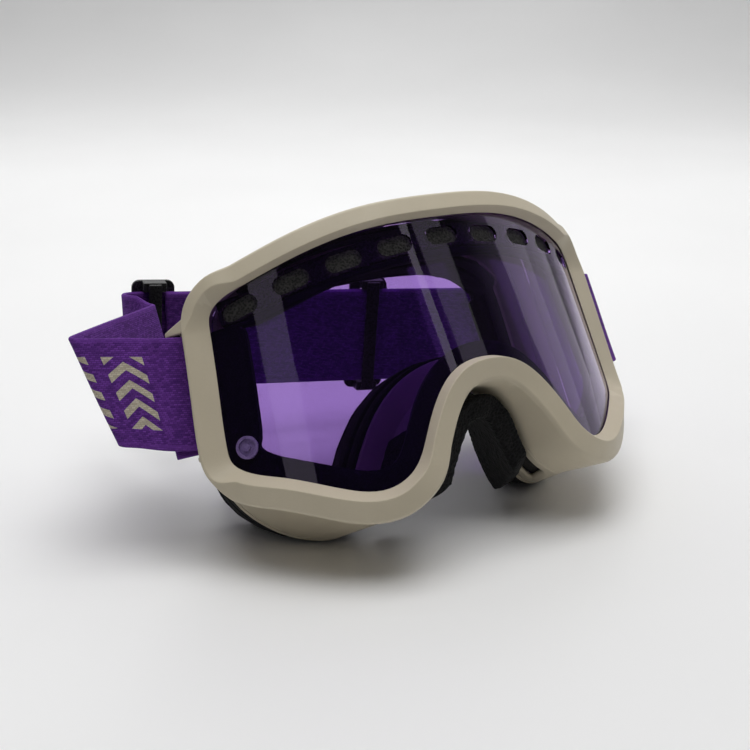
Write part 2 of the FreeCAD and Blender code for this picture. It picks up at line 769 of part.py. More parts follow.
def slider(x):
    """Tri-glide slider: a face plate with a window, and a bar behind the webbing."""
    near = -STRAP_T / 2 - PLATE_GAP
    far = STRAP_T * 1.5 + LAYER_GAP + BAR_GAP
    plate = rounded_plate(SLIDER_LENGTH, SLIDER_W, PLATE_T, SLIDER_CORNER)
    window = rounded_plate(WINDOW_LENGTH, STRAP_W + WINDOW_FIT, 3 * PLATE_T, WINDOW_CORNER)
    window.translate(V(0, 0, -PLATE_T))
    body = plate.cut(window)
    body.translate(V(0, 0, near - PLATE_T))
    cap_w = (SLIDER_W - STRAP_W) / 2 - CAP_FIT
    cap_t = far - near + 2 * CAP_LAP
    for end in (-1, 1):
        low = end * (SLIDER_W - cap_w) / 2 - cap_w / 2
        corner = V(-CAP_LENGTH / 2, low, near - CAP_LAP)
        body = body.fuse(Part.makeBox(CAP_LENGTH, cap_w, cap_t, corner))
    bar_w = SLIDER_W - 2 * CAP_FIT
    corner = V(-BAR_LENGTH / 2, -bar_w / 2, far)
    body = body.fuse(Part.makeBox(BAR_LENGTH, bar_w, BAR_T, corner))
    centre, along, wide, thin = rear_frame_at(x)
    place = FreeCAD.Matrix(along.x, wide.x, thin.x, centre.x,
                           along.y, wide.y, thin.y, centre.y,
                           along.z, wide.z, thin.z, centre.z, 0, 0, 0, 1)
    return body.transformGeometry(place)


# ------------------------------------------------------------------ standing pose
def standing(shape, centre):
    shape = shape.copy()
    shape.rotate(V(0, 0, 0), V(1, 0, 0), -LEAN)
    shape.translate(V(-centre.x, -centre.y, FLOOR_DROP))
    return shape


def trimmed(shape):
    """Foam that presses on the floor is flat there."""
    size = 400.0
    below = Part.makeBox(size, size, size, V(-size / 2, -size / 2, -size))
    return shape.cut(below)


def box_of(shapes):
    """The exact box of the shapes."""
    box = FreeCAD.BoundBox()
    for shape in shapes:
        box.add(shape.optimalBoundingBox(False))
    return box


def build():
    parts = {
        "front_frame": front_frame(),
        "face_frame": face_frame(),
        "outer_lens": outer_lens(),
        "inner_lens": inner_lens(),
        "lens_spacer_foam": lens_spacer(),
        "slot_vent_foam": slot_foam(),
        "top_vent_foam": top_wall_foam(),
        "lower_vent_foam_left": low_wall_foam(-1),
        "lower_vent_foam_right": low_wall_foam(1),
        "nose_foam": nose_foam(),
        "breather_disc": breather(),
        "strap_post_left": post(-1),
        "strap_post_right": post(1),
        "strap_left_arm": strap_arm(-1, LEFT_CREASE, LEFT_FOLD, CREASE_R, CREASE_LEAN),
        "strap_left_sewn_end": strap_tail(-1, LEFT_CREASE, LEFT_TAIL),
        "strap_right_arm": strap_arm(1, RIGHT_BULGE, RIGHT_FOLD, BULGE_R, FLAT),
        "strap_right_sewn_end": strap_tail(1, RIGHT_BULGE, RIGHT_TAIL),
        "strap_rear_band": rear_band(),
        "strap_overlap": rear_overlap(),
        "slider_left": slider(SLIDER_LEFT_X),
        "slider_right": slider(SLIDER_RIGHT_X),
    }
    for name, layer in FOAM_LAYERS.items():
        parts[name] = foam_ring(*layer)
    leaned = {}
    for name, shape in parts.items():
        leaned[name] = standing(shape, V(0, 0, 0))
        if name in FOAM_LAYERS:
            leaned[name] = trimmed(leaned[name])
    box = box_of(leaned.values())
    centre = V((box.XMin + box.XMax) / 2, (box.YMin + box.YMax) / 2, 0)
    print("centre", centre, "z", box.ZMin, box.ZMax)
    os.makedirs("parts", exist_ok=True)
    for name, shape in leaned.items():
        shape.translate(V(-centre.x, -centre.y, 0))
        low = round(box_of([shape]).ZMin, 2)
        print(name, "low", low, "valid", shape.isValid(), "solids", len(shape.Solids))
        shape.exportStep("parts/" + name + ".step")


build()
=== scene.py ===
import json
import math

import bmesh
import bpy
import numpy as np
from mathutils import Matrix, Vector, noise


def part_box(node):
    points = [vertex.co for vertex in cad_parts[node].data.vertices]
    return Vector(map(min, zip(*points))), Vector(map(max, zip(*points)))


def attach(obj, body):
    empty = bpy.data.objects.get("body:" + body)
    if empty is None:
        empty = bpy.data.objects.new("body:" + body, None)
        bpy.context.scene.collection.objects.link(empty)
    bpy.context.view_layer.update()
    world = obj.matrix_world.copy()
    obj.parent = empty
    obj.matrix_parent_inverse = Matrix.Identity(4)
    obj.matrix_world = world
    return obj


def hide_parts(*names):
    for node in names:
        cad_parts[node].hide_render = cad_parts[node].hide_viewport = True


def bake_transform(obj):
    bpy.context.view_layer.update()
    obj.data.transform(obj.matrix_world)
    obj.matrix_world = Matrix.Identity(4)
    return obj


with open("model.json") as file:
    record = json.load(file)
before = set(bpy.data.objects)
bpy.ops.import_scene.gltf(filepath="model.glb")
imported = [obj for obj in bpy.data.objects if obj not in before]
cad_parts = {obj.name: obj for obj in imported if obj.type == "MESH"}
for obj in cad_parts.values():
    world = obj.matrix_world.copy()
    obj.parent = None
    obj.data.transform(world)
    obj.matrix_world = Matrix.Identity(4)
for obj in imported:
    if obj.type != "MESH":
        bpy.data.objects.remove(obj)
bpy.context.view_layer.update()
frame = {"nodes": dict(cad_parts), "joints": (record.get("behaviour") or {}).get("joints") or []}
NODES = frame["nodes"]
JOINTS = {j["name"]: j for j in frame["joints"]}
MM = 0.001

# ------------------------------------------------------------------ driving dimensions (mm)
# Goggle frame: the lens is a cylinder about the vertical axis through the origin, and its
# front faces -Y. The goggles stand leaning back about X, as the strap's hinge axis says.
LENS_R = 107.0
OUTER_LENS_T = 1.0
LENS_GAP = 4.4
FIT = 0.15
SPACER_FIT = 0.45
INNER_N = -(OUTER_LENS_T + LENS_GAP)

SLOT_PITCH = 18.3
SLOT_HEIGHTS = (40.7, 39.8, 38.4, 36.4, 33.0)

STRAP_W = 38.5
STRAP_T = 1.8
POST_R = 1.5
POST = Vector((82.8, -62.6, 12.0))
LOOP_R = POST_R + 0.5 + STRAP_T / 2
LEFT_TAIL = 9.5
RIGHT_TAIL = 20.0
TAIL_GAP = 0.24         # between the sewn end and the webbing in front of it
LEAD = 9.0              # the webbing runs straight this far past its post
LEAD_SHIFT = 0.2
EAR_NEAR = STRAP_W / 2 + 0.9
EAR_T = 2.6
EAR_FRONT = 2.6
EAR_BACK = -3.0

FLANGE_T = 2.0
FLANGE_W = 11.0
WALL_T = 2.4
FOAM_BASE_T = 6.0
FOAM_FACE_T = 9.0
FLEECE_T = 1.6
LAYER_GAP = 0.1
LAYER_BULGE = 0.35
FOAM_FRONT = FLANGE_T + LAYER_GAP
FACE_FRONT = FOAM_FRONT + FOAM_BASE_T + LAYER_GAP
FLEECE_FRONT = FACE_FRONT + FOAM_FACE_T + LAYER_GAP
REAR = FLEECE_FRONT + FLEECE_T

SAMPLES = 7             # places round a ring for each stretch of its outline

# Half outline of the lens: (arc length s, height z, zone), from the top centre round the
# wearer's left to the nose. The zone names the section that the rim has there.
LENS_HALF = [
    (0.0, 47.8, "top"), (27.0, 47.5, "top"), (53.0, 43.9, "top"), (70.5, 40.2, "top"),
    (79.0, 37.9, "corner"), (83.7, 34.2, "corner"),
    (85.2, 28.5, "side"), (88.0, 8.0, "side"), (90.2, -8.0, "side"), (89.8, -14.0, "side"),
    (85.8, -18.3, "bottom"), (74.9, -23.6, "bottom"), (58.4, -32.1, "bottom"),
    (43.5, -36.6, "bottom"), (34.0, -33.0, "lobe"),
    (26.8, -23.5, "nose"), (21.0, -14.5, "nose"), (10.7, -5.2, "nose"), (0.0, -3.0, "nose"),
]

# The face flange's outer edge, point for point with the lens outline.
FACE_HALF = [
    (0.0, -76.0, 56.0), (25.0, -73.0, 55.5), (46.0, -66.0, 52.0), (57.5, -59.0, 48.0),
    (63.5, -55.0, 45.0), (67.5, -52.0, 41.0),
    (70.0, -50.0, 35.0), (73.5, -46.0, 11.0), (74.0, -45.5, -7.0), (73.5, -46.0, -15.0),
    (71.5, -47.0, -23.0), (65.0, -50.0, -33.5), (54.0, -54.0, -42.0),
    (43.0, -58.0, -44.8), (33.5, -62.0, -41.5),
    (27.0, -67.0, -33.0), (21.5, -73.0, -21.5), (12.0, -82.0, -10.5), (0.0, -85.5, -7.5),
]

# The front frame's section in each zone, as (m outward along the lens, n proud of it), from
# the lip over the lens round the outside to the rebate that the lens sits in.
RIM = {
    "top": [(-0.6, 0.35), (0.5, 4.5), (6.2, 3.1), (7.1, 1.6), (7.3, -8.0),
            (7.0, -16.0), (4.8, -16.0), (4.2, -9.0), (2.3, -9.0), (2.3, 0.35)],
    "corner": [(-0.6, 0.35), (3.4, 5.0), (7.6, 3.8), (8.2, 2.4), (7.6, -5.0),
               (6.4, -16.0), (4.2, -16.0), (4.2, -9.0), (2.3, -9.0), (2.3, 0.35)],
    "side": [(-0.6, 0.35), (6.3, 5.4), (7.2, 5.2), (7.1, 4.0), (4.5, 1.6),
             (4.5, -16.0), (2.6, -16.0), (2.6, -9.0), (2.3, -9.0), (2.3, 0.35)],
    "bottom": [(-0.6, 0.35), (2.8, 5.0), (9.0, 2.6), (9.6, 1.2), (9.0, -7.0),
               (8.2, -16.0), (6.0, -16.0), (4.4, -9.0), (2.3, -9.0), (2.3, 0.35)],
    "lobe": [(-0.6, 0.35), (2.2, 4.8), (8.6, 2.4), (9.2, 1.0), (8.8, -6.5),
             (8.0, -16.0), (5.8, -16.0), (4.4, -9.0), (2.3, -9.0), (2.3, 0.35)],
    "nose": [(-0.6, 0.35), (1.2, 4.5), (7.4, 2.2), (8.0, 0.8), (7.8, -6.0),
             (7.2, -16.0), (5.0, -16.0), (4.2, -9.0), (2.3, -9.0), (2.3, 0.35)],
}
RIM_RADII = (0.2, 0.4, 0.5, 0.6, 1.0, 0.5, 0.5, 0.4, 0.3, 0.12)
WALL_OUT = 5            # the corners of RIM that the face frame's wall runs back from
WALL_IN = 6

# Width of the black border inside the lens edge, and how far it drops below the slots.
BORDER = {"top": 6.5, "corner": 8.0, "side": 12.0, "bottom": 7.0, "lobe": 6.5, "nose": 6.5}
TOP_BORDER = {"top": 7.4, "corner": 3.0}
OUTER_DROP = 1.42
CORNER_Z = 25.0
LENS_EDGE_GAP = 0.3
SLOT_FOAM_UP = 4.6
SLOT_FOAM_LOW = 3.8
SLOT_FOAM_END = 7.4     # past the middle of the last slot
SLOT_FOAM_SINK = 0.35   # its front, behind the lens
SLOT_FOAM_PLACES = 260

# The foam strips inside the face frame's wall: their gap to it and thickness, and the shares
# of its depth where they start and end.
STRIP_GAP = 0.35
STRIP_T = 2.0
STRIP_FRONT = 0.12
STRIP_BACK = 0.86

# The nose foam's front: m outward of the lens outline and n behind the lens's face, with a
# further sweep back at its ends. Its rear lies inside the flange's edge by a gap.
NOSE_M = 10.8
NOSE_N = -6.0
NOSE_SWEEP = 9.0
NOSE_LEAN = 4.0
NOSE_THICK = 7.2
NOSE_GAP = 1.5
NOSE_BACK = 6.0
NOSE_FIRST = 14 * SAMPLES + 2
NOSE_LAST = 22 * SAMPLES - 2

# The face frame's vent windows, as (x, width), in the wall above and beside the nose.
TOP_VENTS = tuple((x, 15.0) for x in (-44.0, -22.0, 0.0, 22.0, 44.0))
NOSE_VENTS = ((-27.0, 12.0), (27.0, 12.0))


# ------------------------------------------------------------------ from the frame
def lean_of_frame():
    axis = JOINTS["strap_left_swing"]["axis"]
    return math.atan2(axis[1], axis[2])


LEAN = lean_of_frame()
STAND = Matrix.Rotation(-LEAN, 3, "X")


def shift_of_frame():
    """What moves the leaned goggle frame onto the row frame, in mm: the left post is known."""
    post = Vector(JOINTS["strap_left_swing"]["pos_m"]) / MM
    return post - STAND @ Vector((-POST.x, POST.y, POST.z))


SHIFT = shift_of_frame()
STAND_ARRAY = np.array(STAND)
SHIFT_ARRAY = np.array(SHIFT)


def placed(points):
    """Points of the goggle frame in mm, as points of the row frame in metres."""
    return (np.asarray(points, float) @ STAND_ARRAY.T + SHIFT_ARRAY) * MM


def unplaced(point):
    """A row-frame point in metres, in the goggle frame in mm."""
    return STAND.transposed() @ (Vector(point) / MM - SHIFT)


# ------------------------------------------------------------------ outlines
def smooth(t):
    return t * t * (3.0 - 2.0 * t)


def mirrored(half):
    """A half outline and its mirror image as one closed list."""
    back = [(-p[0],) + tuple(p[1:]) for p in half[-2:0:-1]]
    return list(half) + back


def closed_spline(points, samples):
    """Places and unit tangents along the smooth closed curve through the points."""
    p = np.array(points, float)
    count = len(p)
    after = np.roll(p, -1, axis=0)
    h = np.linalg.norm(after - p, axis=1)
    before_h = np.roll(h, 1)
    slope = (after - p) / h[:, None]
    system = np.zeros((count, count))
    for i in range(count):
        system[i, i - 1] = before_h[i]
        system[i, i] = 2.0 * (before_h[i] + h[i])
        system[i, (i + 1) % count] = h[i]
    bend = np.linalg.solve(system, 6.0 * (slope - np.roll(slope, 1, axis=0)))
    next_bend = np.roll(bend, -1, axis=0)
    places, tangents = [], []
    for i in range(count):
        for k in range(samples):
            t = k / samples
            u = 1.0 - t
            w = h[i] ** 2 / 6.0
            places.append(u * p[i] + t * after[i]
                          + w * ((u ** 3 - u) * bend[i] + (t ** 3 - t) * next_bend[i]))
            d = slope[i] + h[i] / 6.0 * ((1 - 3 * u * u) * bend[i] + (3 * t * t - 1) * next_bend[i])
            tangents.append(d / np.linalg.norm(d))
    return np.array(places), np.array(tangents)


LENS_P, LENS_T = closed_spline([p[:2] for p in mirrored(LENS_HALF)], SAMPLES)
FACE_P, FACE_T = closed_spline(mirrored(FACE_HALF), SAMPLES)
ROUND = len(LENS_P)


def zone_mix(pick):
    """An array over the ring's places of what pick gives for each zone, blended between them."""
    zones = [p[2] for p in mirrored(LENS_HALF)]
    out = []
    for a, b in zip(zones, zones[1:] + zones[:1]):
        low, high = np.array(pick(a), float), np.array(pick(b), float)
        for k in range(SAMPLES):
            out.append(low + (high - low) * smooth(k / SAMPLES))
    return np.array(out)


def on_lens(s, z, n):
    """Points n outward from the lens at arc length s and height z, in the goggle frame."""
    a = np.asarray(s, float) / LENS_R
    r = LENS_R + n
    return np.stack([r * np.sin(a), -r * np.cos(a), z + 0.0 * a], axis=-1)


def lens_rail(m, n, drop=0.0):
    """A ring beside the lens outline: m outward along the surface, n proud of it."""
    s = LENS_P[:, 0] - m * LENS_T[:, 1]
    z = LENS_P[:, 1] + m * LENS_T[:, 0] - drop
    return on_lens(s, z, n)


def inward_of_face():
    """Unit directions from the face flange's outer edge towards its inside."""
    flat = FACE_T[:, [0, 2]] / np.linalg.norm(FACE_T[:, [0, 2]], axis=1)[:, None]
    return np.stack([flat[:, 1], 0 * flat[:, 0], -flat[:, 0]], axis=-1)


INWARD = inward_of_face()


def face_rail(inset, back):
    """A ring inside the face flange's outer edge by inset, and back towards the face."""
    return FACE_P + INWARD * inset + np.array([0.0, back, 0.0])


def wall_rail(corner):
    mn = zone_mix(lambda zone: RIM[zone][corner])
    return lens_rail(mn[:, 0], mn[:, 1] - FIT)


# ------------------------------------------------------------------ rails to meshes
def rounded(rails, radii, steps):
    """The rails of a closed section with each corner rounded to its radius, in mm."""
    if not hasattr(radii, "__len__"):
        radii = [radii] * len(rails)
    out = []
    count = len(rails)
    for i, r in enumerate(radii):
        here, last, following = rails[i], rails[i - 1], rails[(i + 1) % count]
        to_last, to_next = last - here, following - here
        len_last = np.linalg.norm(to_last, axis=1)[:, None]
        len_next = np.linalg.norm(to_next, axis=1)[:, None]
        reach_last = np.minimum(r, 0.45 * len_last)
        reach_next = np.minimum(r, 0.45 * len_next)
        start = here + to_last / np.maximum(len_last, 1e-9) * reach_last
        end = here + to_next / np.maximum(len_next, 1e-9) * reach_next
        for k in range(steps):
            t = k / (steps - 1)
            out.append((1 - t) ** 2 * start + 2 * t * (1 - t) * here + t * t * end)
    return out


def divided(rails, widest):
    """The rails of a closed section with more put between those further apart than widest."""
    out = []
    for a, b in zip(rails, rails[1:] + rails[:1]):
        gap = np.linalg.norm(b - a, axis=1).mean()
        n = max(1, int(math.ceil(gap / widest)))
        out.extend(a + (b - a) * (k / n) for k in range(n))
    return out


def lengthened(rails, times):
    """Open rails with points added between their points, so each has times as many."""
    count = rails[0].shape[0]
    old = np.arange(count)
    new = np.linspace(0, count - 1, (count - 1) * times + 1)
    return [np.stack([np.interp(new, old, r[:, i]) for i in range(3)], axis=-1) for r in rails]


def grid_faces(rows, columns, joined_rows, joined_columns, base=0):
    """Quads between points kept row by row, closed round either way where it's joined."""
    faces = []
    for i in range(rows if joined_rows else rows - 1):
        a, b = base + i * columns, base + (i + 1) % rows * columns
        for k in range(columns if joined_columns else columns - 1):
            m = (k + 1) % columns
            faces.append((a + k, a + m, b + m, b + k))
    return faces


def mesh_piece(name, verts, faces, material):
    mesh = bpy.data.meshes.new(name)
    mesh.from_pydata([tuple(v) for v in verts], [], faces)
    bm = bmesh.new()
    bm.from_mesh(mesh)
    bmesh.ops.recalc_face_normals(bm, faces=bm.faces)
    bm.to_mesh(mesh)
    bm.free()
    mesh.polygons.foreach_set("use_smooth", [True] * len(mesh.polygons))
    mesh.materials.append(material)
    piece = bpy.data.objects.new(name, mesh)
    bpy.context.scene.collection.objects.link(piece)
    return piece


def ring_piece(name, rails, material):
    """A closed ring whose closed section runs from rail to rail."""
    grid = np.stack(rails)
    faces = grid_faces(grid.shape[0], grid.shape[1], True, True)
    return mesh_piece(name, placed(grid.reshape(-1, 3)), faces, material)


def bar_piece(name, rails, material):
    """An open bar whose closed section runs from rail to rail, with drawn-in ends."""
    grid = np.stack(rails)
    middle = grid.mean(axis=0)
    heads = []
    for end, inward in ((0, 1), (-1, -2)):
        along = middle[end] - middle[inward]
        along /= np.linalg.norm(along)
        for out, keep in ((0.35, 0.86), (0.5, 0.6)):
            heads.append(middle[end] + (grid[:, end] - middle[end]) * keep + along * out)
    start, finish = np.stack(heads[1::-1], 1), np.stack(heads[2:], 1)
    grid = np.concatenate([start, grid, finish], axis=1)
    count, length = grid.shape[:2]
    faces = grid_faces(count, length, True, False)
    for end in (0, length - 1):
        faces.append(tuple(i * length + end for i in range(count)))
    return mesh_piece(name, placed(grid.reshape(-1, 3)), faces, material)


def weighted(piece):
    """Flat faces shade flat and the small round ones between them shade round."""
    piece.modifiers.new("weighted", "WEIGHTED_NORMAL").keep_sharp = True


def bevelled(piece, width):
    m = piece.modifiers.new("edges", "BEVEL")
    m.width = width * MM
    m.segments = 3
    m.limit_method = "ANGLE"
    m.angle_limit = math.radians(30.0)
    m.harden_normals = True


def finer(piece, levels=1):
    m = piece.modifiers.new("finer", "SUBSURF")
    m.levels = levels
    m.render_levels = levels


def roughen(piece, sizes, seed):
    """Moves each point along its normal by noise: sizes is (grain in mm, height in mm) pairs."""
    mesh = piece.data
    start = Vector((seed * 13.7, seed * 7.3, seed * 3.1))
    moved = []
    for v in mesh.vertices:
        p = v.co / MM
        lift = sum(noise.noise(p / grain + start) * height for grain, height in sizes)
        moved.append(v.co + v.normal * (lift * MM))
    for v, co in zip(mesh.vertices, moved):
        v.co = co


FLOOR_Z = 0.0001


def pressed_flat(piece):
    """Foam that meets the surface it stands on is flat there."""
    for v in piece.data.vertices:
        v.co.z = max(v.co.z, FLOOR_Z)


# ------------------------------------------------------------------ materials
def new_material(name):
    """A new material, its nodes, its shader, and object coordinates in millimetres."""
    mat = bpy.data.materials.new(name)
    mat.use_nodes = True
    nt = mat.node_tree
    where = nt.nodes.new("ShaderNodeTexCoord")
    scale = node(nt, "ShaderNodeVectorMath", operation="SCALE")
    scale.inputs["Scale"].default_value = 1.0 / MM
    nt.links.new(where.outputs["Object"], scale.inputs[0])
    return mat, nt, nt.nodes["Principled BSDF"], scale.outputs[0]


def node(nt, kind, **values):
    n = nt.nodes.new(kind)
    for key, value in values.items():
        if key in n.inputs:
            n.inputs[key].default_value = value
        else:
            setattr(n, key, value)
    return n


def noise_of(nt, where, grain, detail=2.0, rough=0.5):
    n = node(nt, "ShaderNodeTexNoise", Scale=1.0 / grain, Detail=detail, Roughness=rough)
    nt.links.new(where, n.inputs["Vector"])
    return n.outputs["Fac"]


def ramp(nt, value, stops):
    n = nt.nodes.new("ShaderNodeValToRGB")
    ends = n.color_ramp.elements
    while len(ends) < len(stops):
        ends.new(0.5)
    for e, (place, colour) in zip(ends, stops):
        e.position = place
        e.color = tuple(colour) + (1.0,) if hasattr(colour, "__len__") else (colour,) * 3 + (1.0,)
    nt.links.new(value, n.inputs["Fac"])
    return n.outputs["Color"]


def math_node(nt, operation, *values):
    n = node(nt, "ShaderNodeMath", operation=operation)
    for socket, value in zip(n.inputs, values):
        if isinstance(value, (int, float)):
            socket.default_value = value
        else:
            nt.links.new(value, socket)
    return n.outputs[0]


def mixed_colour(nt, factor, a, b):
    n = node(nt, "ShaderNodeMix", data_type="RGBA")
    for socket, value in ((n.inputs[0], factor), (n.inputs[6], a), (n.inputs[7], b)):
        if hasattr(value, "is_linked"):
            nt.links.new(value, socket)
        elif hasattr(value, "__len__"):
            socket.default_value = tuple(value) + (1.0,)
        else:
            socket.default_value = value
    return n.outputs[2]


def bump(nt, shader, heights):
    """Chains bumps onto the shader's normal: (height socket, distance in mm, strength)."""
    normal = None
    for height, distance, strength in heights:
        n = node(nt, "ShaderNodeBump", Strength=strength, Distance=distance * MM)
        nt.links.new(height, n.inputs["Height"])
        if normal is not None:
            nt.links.new(normal, n.inputs["Normal"])
        normal = n.outputs["Normal"]
    nt.links.new(normal, shader.inputs["Normal"])


def finished(nt, shader, colour, rough, heights, sockets):
    """Gives a shader its colour, roughness and bumps, and sets the sockets named."""
    nt.links.new(colour, shader.inputs["Base Color"])
    if rough is not None:
        nt.links.new(rough, shader.inputs["Roughness"])
    bump(nt, shader, heights)
    for name, value in sockets.items():
        shader.inputs[name].default_value = value


def moulded_beige():
    """Soft-touch moulded frame: fine spark-eroded grain, and a lighter colour along its convex edges
    that is partly wear and partly a painted edge highlight.
    """
    mat, nt, shader, where = new_material("moulded_beige")
    patch, speck = noise_of(nt, where, 22.0, 3.0), noise_of(nt, where, 0.7)
    colour = ramp(nt, patch, ((0.3, (0.500, 0.442, 0.330)), (0.7, (0.545, 0.482, 0.362))))
    colour = mixed_colour(nt, math_node(nt, "MULTIPLY", speck, 0.22), colour, (0.42, 0.365, 0.265))
    # Convex edges, found by pointiness, are painted lighter: partly wear, partly a painted highlight
    # along the rounded edges.
    edge = nt.nodes.new("ShaderNodeNewGeometry").outputs["Pointiness"]
    edge_wear_and_highlight = math_node(nt, "MULTIPLY", ramp(nt, edge, ((0.515, 0.0), (0.56, 1.0))), 0.35)
    colour = mixed_colour(nt, edge_wear_and_highlight, colour, (0.64, 0.575, 0.455))
    rough = ramp(nt, noise_of(nt, where, 6.0, 4.0), ((0.3, 0.46), (0.7, 0.58)))
    ripple, grain = noise_of(nt, where, 9.0, 1.0), noise_of(nt, where, 0.32, 1.5)
    finished(nt, shader, colour, rough, ((ripple, 0.12, 0.35), (grain, 0.02, 0.5)),
             {"Specular IOR Level": 0.42, "Sheen Weight": 0.12, "Sheen Roughness": 0.5})
    return mat


def clear_glass(name, tint):
    """Tinted glass that lets lamps through, so that the floor behind it is lit and tinted."""
    mat, nt, shader, where = new_material(name)
    colour = ramp(nt, noise_of(nt, where, 60.0, 1.0),
                  ((0.3, tuple(0.97 * c for c in tint)), (0.7, tint)))
    finished(nt, shader, colour, None, ((noise_of(nt, where, 30.0, 1.0), 0.05, 0.25),),
             {"Transmission Weight": 1.0, "Roughness": 0.0, "IOR": 1.5})
    through = nt.nodes.new("ShaderNodeBsdfTransparent")
    nt.links.new(colour, through.inputs["Color"])
    path = nt.nodes.new("ShaderNodeLightPath")
    mix = nt.nodes.new("ShaderNodeMixShader")
    nt.links.new(path.outputs["Is Shadow Ray"], mix.inputs["Fac"])
    nt.links.new(shader.outputs["BSDF"], mix.inputs[1])
    nt.links.new(through.outputs["BSDF"], mix.inputs[2])
    nt.links.new(mix.outputs["Shader"], nt.nodes["Material Output"].inputs["Surface"])
    return mat


def foam(name, dark, light, cell, depth):
    """Foam with pores of about cell mm."""
    mat, nt, shader, where = new_material(name)
    voronoi = node(nt, "ShaderNodeTexVoronoi", Scale=1.0 / cell, Randomness=1.0)
    nt.links.new(where, voronoi.inputs["Vector"])
    pores, fine = voronoi.outputs["Distance"], noise_of(nt, where, cell * 0.6, 3.0, 0.65)
    cloud = math_node(nt, "MULTIPLY", noise_of(nt, where, 11.0), 0.5)
    colour = mixed_colour(nt, cloud, ramp(nt, pores, ((0.1, dark), (0.75, light))), dark)
    finished(nt, shader, colour, ramp(nt, fine, ((0.2, 0.8), (0.8, 0.98))),
             ((pores, depth, 0.9), (fine, depth * 0.6, 0.7)),
             {"Specular IOR Level": 0.15, "Sheen Weight": 0.04})
    return mat


def fleece():
    """Brushed fleece that faces the foam: short fibres with a soft sheen."""
    mat, nt, shader, where = new_material("fleece")
    fibre, clump = noise_of(nt, where, 0.45, 4.0, 0.75), noise_of(nt, where, 2.2)
    colour = ramp(nt, fibre, ((0.3, (0.006, 0.006, 0.008)), (0.75, (0.035, 0.034, 0.040))))
    finished(nt, shader, colour, ramp(nt, clump, ((0.2, 0.85), (0.8, 1.0))),
             ((clump, 0.35, 0.5), (fibre, 0.25, 0.9)),
             {"Specular IOR Level": 0.15, "Sheen Weight": 0.35, "Sheen Roughness": 0.4})
    return mat


def moulded_black(name, roughness):
    """Black moulded nylon with fine handling scratches."""
    mat, nt, shader, where = new_material(name)
    colour = ramp(nt, noise_of(nt, where, 3.0, 4.0),
                  ((0.3, (0.010, 0.010, 0.011)), (0.8, (0.020, 0.020, 0.022))))
    rough = ramp(nt, noise_of(nt, where, 0.8, 5.0, 0.7),
                 ((0.3, roughness), (0.75, roughness + 0.14)))
    finished(nt, shader, colour, rough, ((noise_of(nt, where, 0.5), 0.02, 0.3),),
             {"Specular IOR Level": 0.32, "Coat Weight": 0.10, "Coat Roughness": 0.12})
    return mat


def breather_plastic():
    mat, nt, shader, where = new_material("breather_plastic")
    colour = ramp(nt, noise_of(nt, where, 2.5),
                  ((0.3, (0.115, 0.075, 0.200)), (0.7, (0.170, 0.115, 0.280))))
    rough = ramp(nt, noise_of(nt, where, 0.9), ((0.3, 0.22), (0.7, 0.34)))
    finished(nt, shader, colour, rough, ((noise_of(nt, where, 0.6), 0.02, 0.3),), {})
    return mat


# Plain chevrons on the strap: the stretches along it that carry them, how many there are
# across it, half of the width they take, the slope of their arms and the share left bare.
MOTIF = ((22.5, 34.0), (38.5, 50.0))
MOTIF_ROWS = 4
MOTIF_HALF = 12.5
MOTIF_SLOPE = 0.8
MOTIF_BARE = 0.27
SELVEDGE = 1.9


def knit_stitches(nt, along, across):
    """Rows of small slanted stitches: the brick texture that they are drawn with."""
    knit = node(nt, "ShaderNodeTexBrick", Scale=1.0, offset=0.5, squash=1.0)
    for name, value in (("Color1", (1.0, 1.0, 1.0, 1.0)), ("Color2", (0.3, 0.3, 0.3, 1.0)),
                        ("Mortar", (0.0, 0.0, 0.0, 1.0)), ("Brick Width", 1.36),
                        ("Row Height", 0.68), ("Mortar Size", 0.13), ("Mortar Smooth", 1.0)):
        knit.inputs[name].default_value = value
    slant = math_node(nt, "MULTIPLY_ADD", across, 0.6, along)
    join = nt.nodes.new("ShaderNodeCombineXYZ")
    nt.links.new(slant, join.inputs["X"])
    nt.links.new(across, join.inputs["Y"])
    nt.links.new(join.outputs[0], knit.inputs["Vector"])
    return knit


def knitted_webbing(name, with_motif):
    """Elastic webbing: rows of small knit stitches along the strap, in millimetres of UV."""
    mat, nt, shader, where = new_material(name)
    uv = node(nt, "ShaderNodeUVMap", uv_map="strap_mm")
    split = nt.nodes.new("ShaderNodeSeparateXYZ")
    nt.links.new(uv.outputs["UV"], split.inputs[0])
    along, across = split.outputs["X"], split.outputs["Y"]
    knit = knit_stitches(nt, along, across)
    patch = noise_of(nt, where, 9.0, 3.0)
    deep = ramp(nt, patch, ((0.3, (0.028, 0.003, 0.078)), (0.7, (0.040, 0.006, 0.110))))
    bright = ramp(nt, patch, ((0.3, (0.140, 0.034, 0.290)), (0.7, (0.175, 0.048, 0.350))))
    edge = math_node(nt, "GREATER_THAN", math_node(nt, "ABSOLUTE", across), STRAP_W / 2 - SELVEDGE)
    colour = mixed_colour(nt, knit.outputs["Color"], deep, bright)
    colour = mixed_colour(nt, math_node(nt, "MULTIPLY", edge, 0.45), colour, bright)
    height = math_node(nt, "SUBTRACT", 1.0, knit.outputs["Fac"])
    if with_motif:
        pale = zigzag(nt, along, across)
        thread = mixed_colour(nt, knit.outputs["Color"], (0.34, 0.30, 0.225), (0.60, 0.545, 0.43))
        colour = mixed_colour(nt, pale, colour, thread)
        height = math_node(nt, "ADD", height, math_node(nt, "MULTIPLY", pale, 0.5))
    fuzz = noise_of(nt, where, 0.28, 3.0, 0.7)
    finished(nt, shader, colour, ramp(nt, patch, ((0.2, 0.78), (0.8, 0.92))),
             ((height, 0.22, 0.85), (fuzz, 0.08, 0.6)),
             {"Specular IOR Level": 0.2, "Sheen Weight": 0.15, "Sheen Roughness": 0.45,
              "Sheen Tint": (0.55, 0.30, 0.95, 1.0)})
    return mat


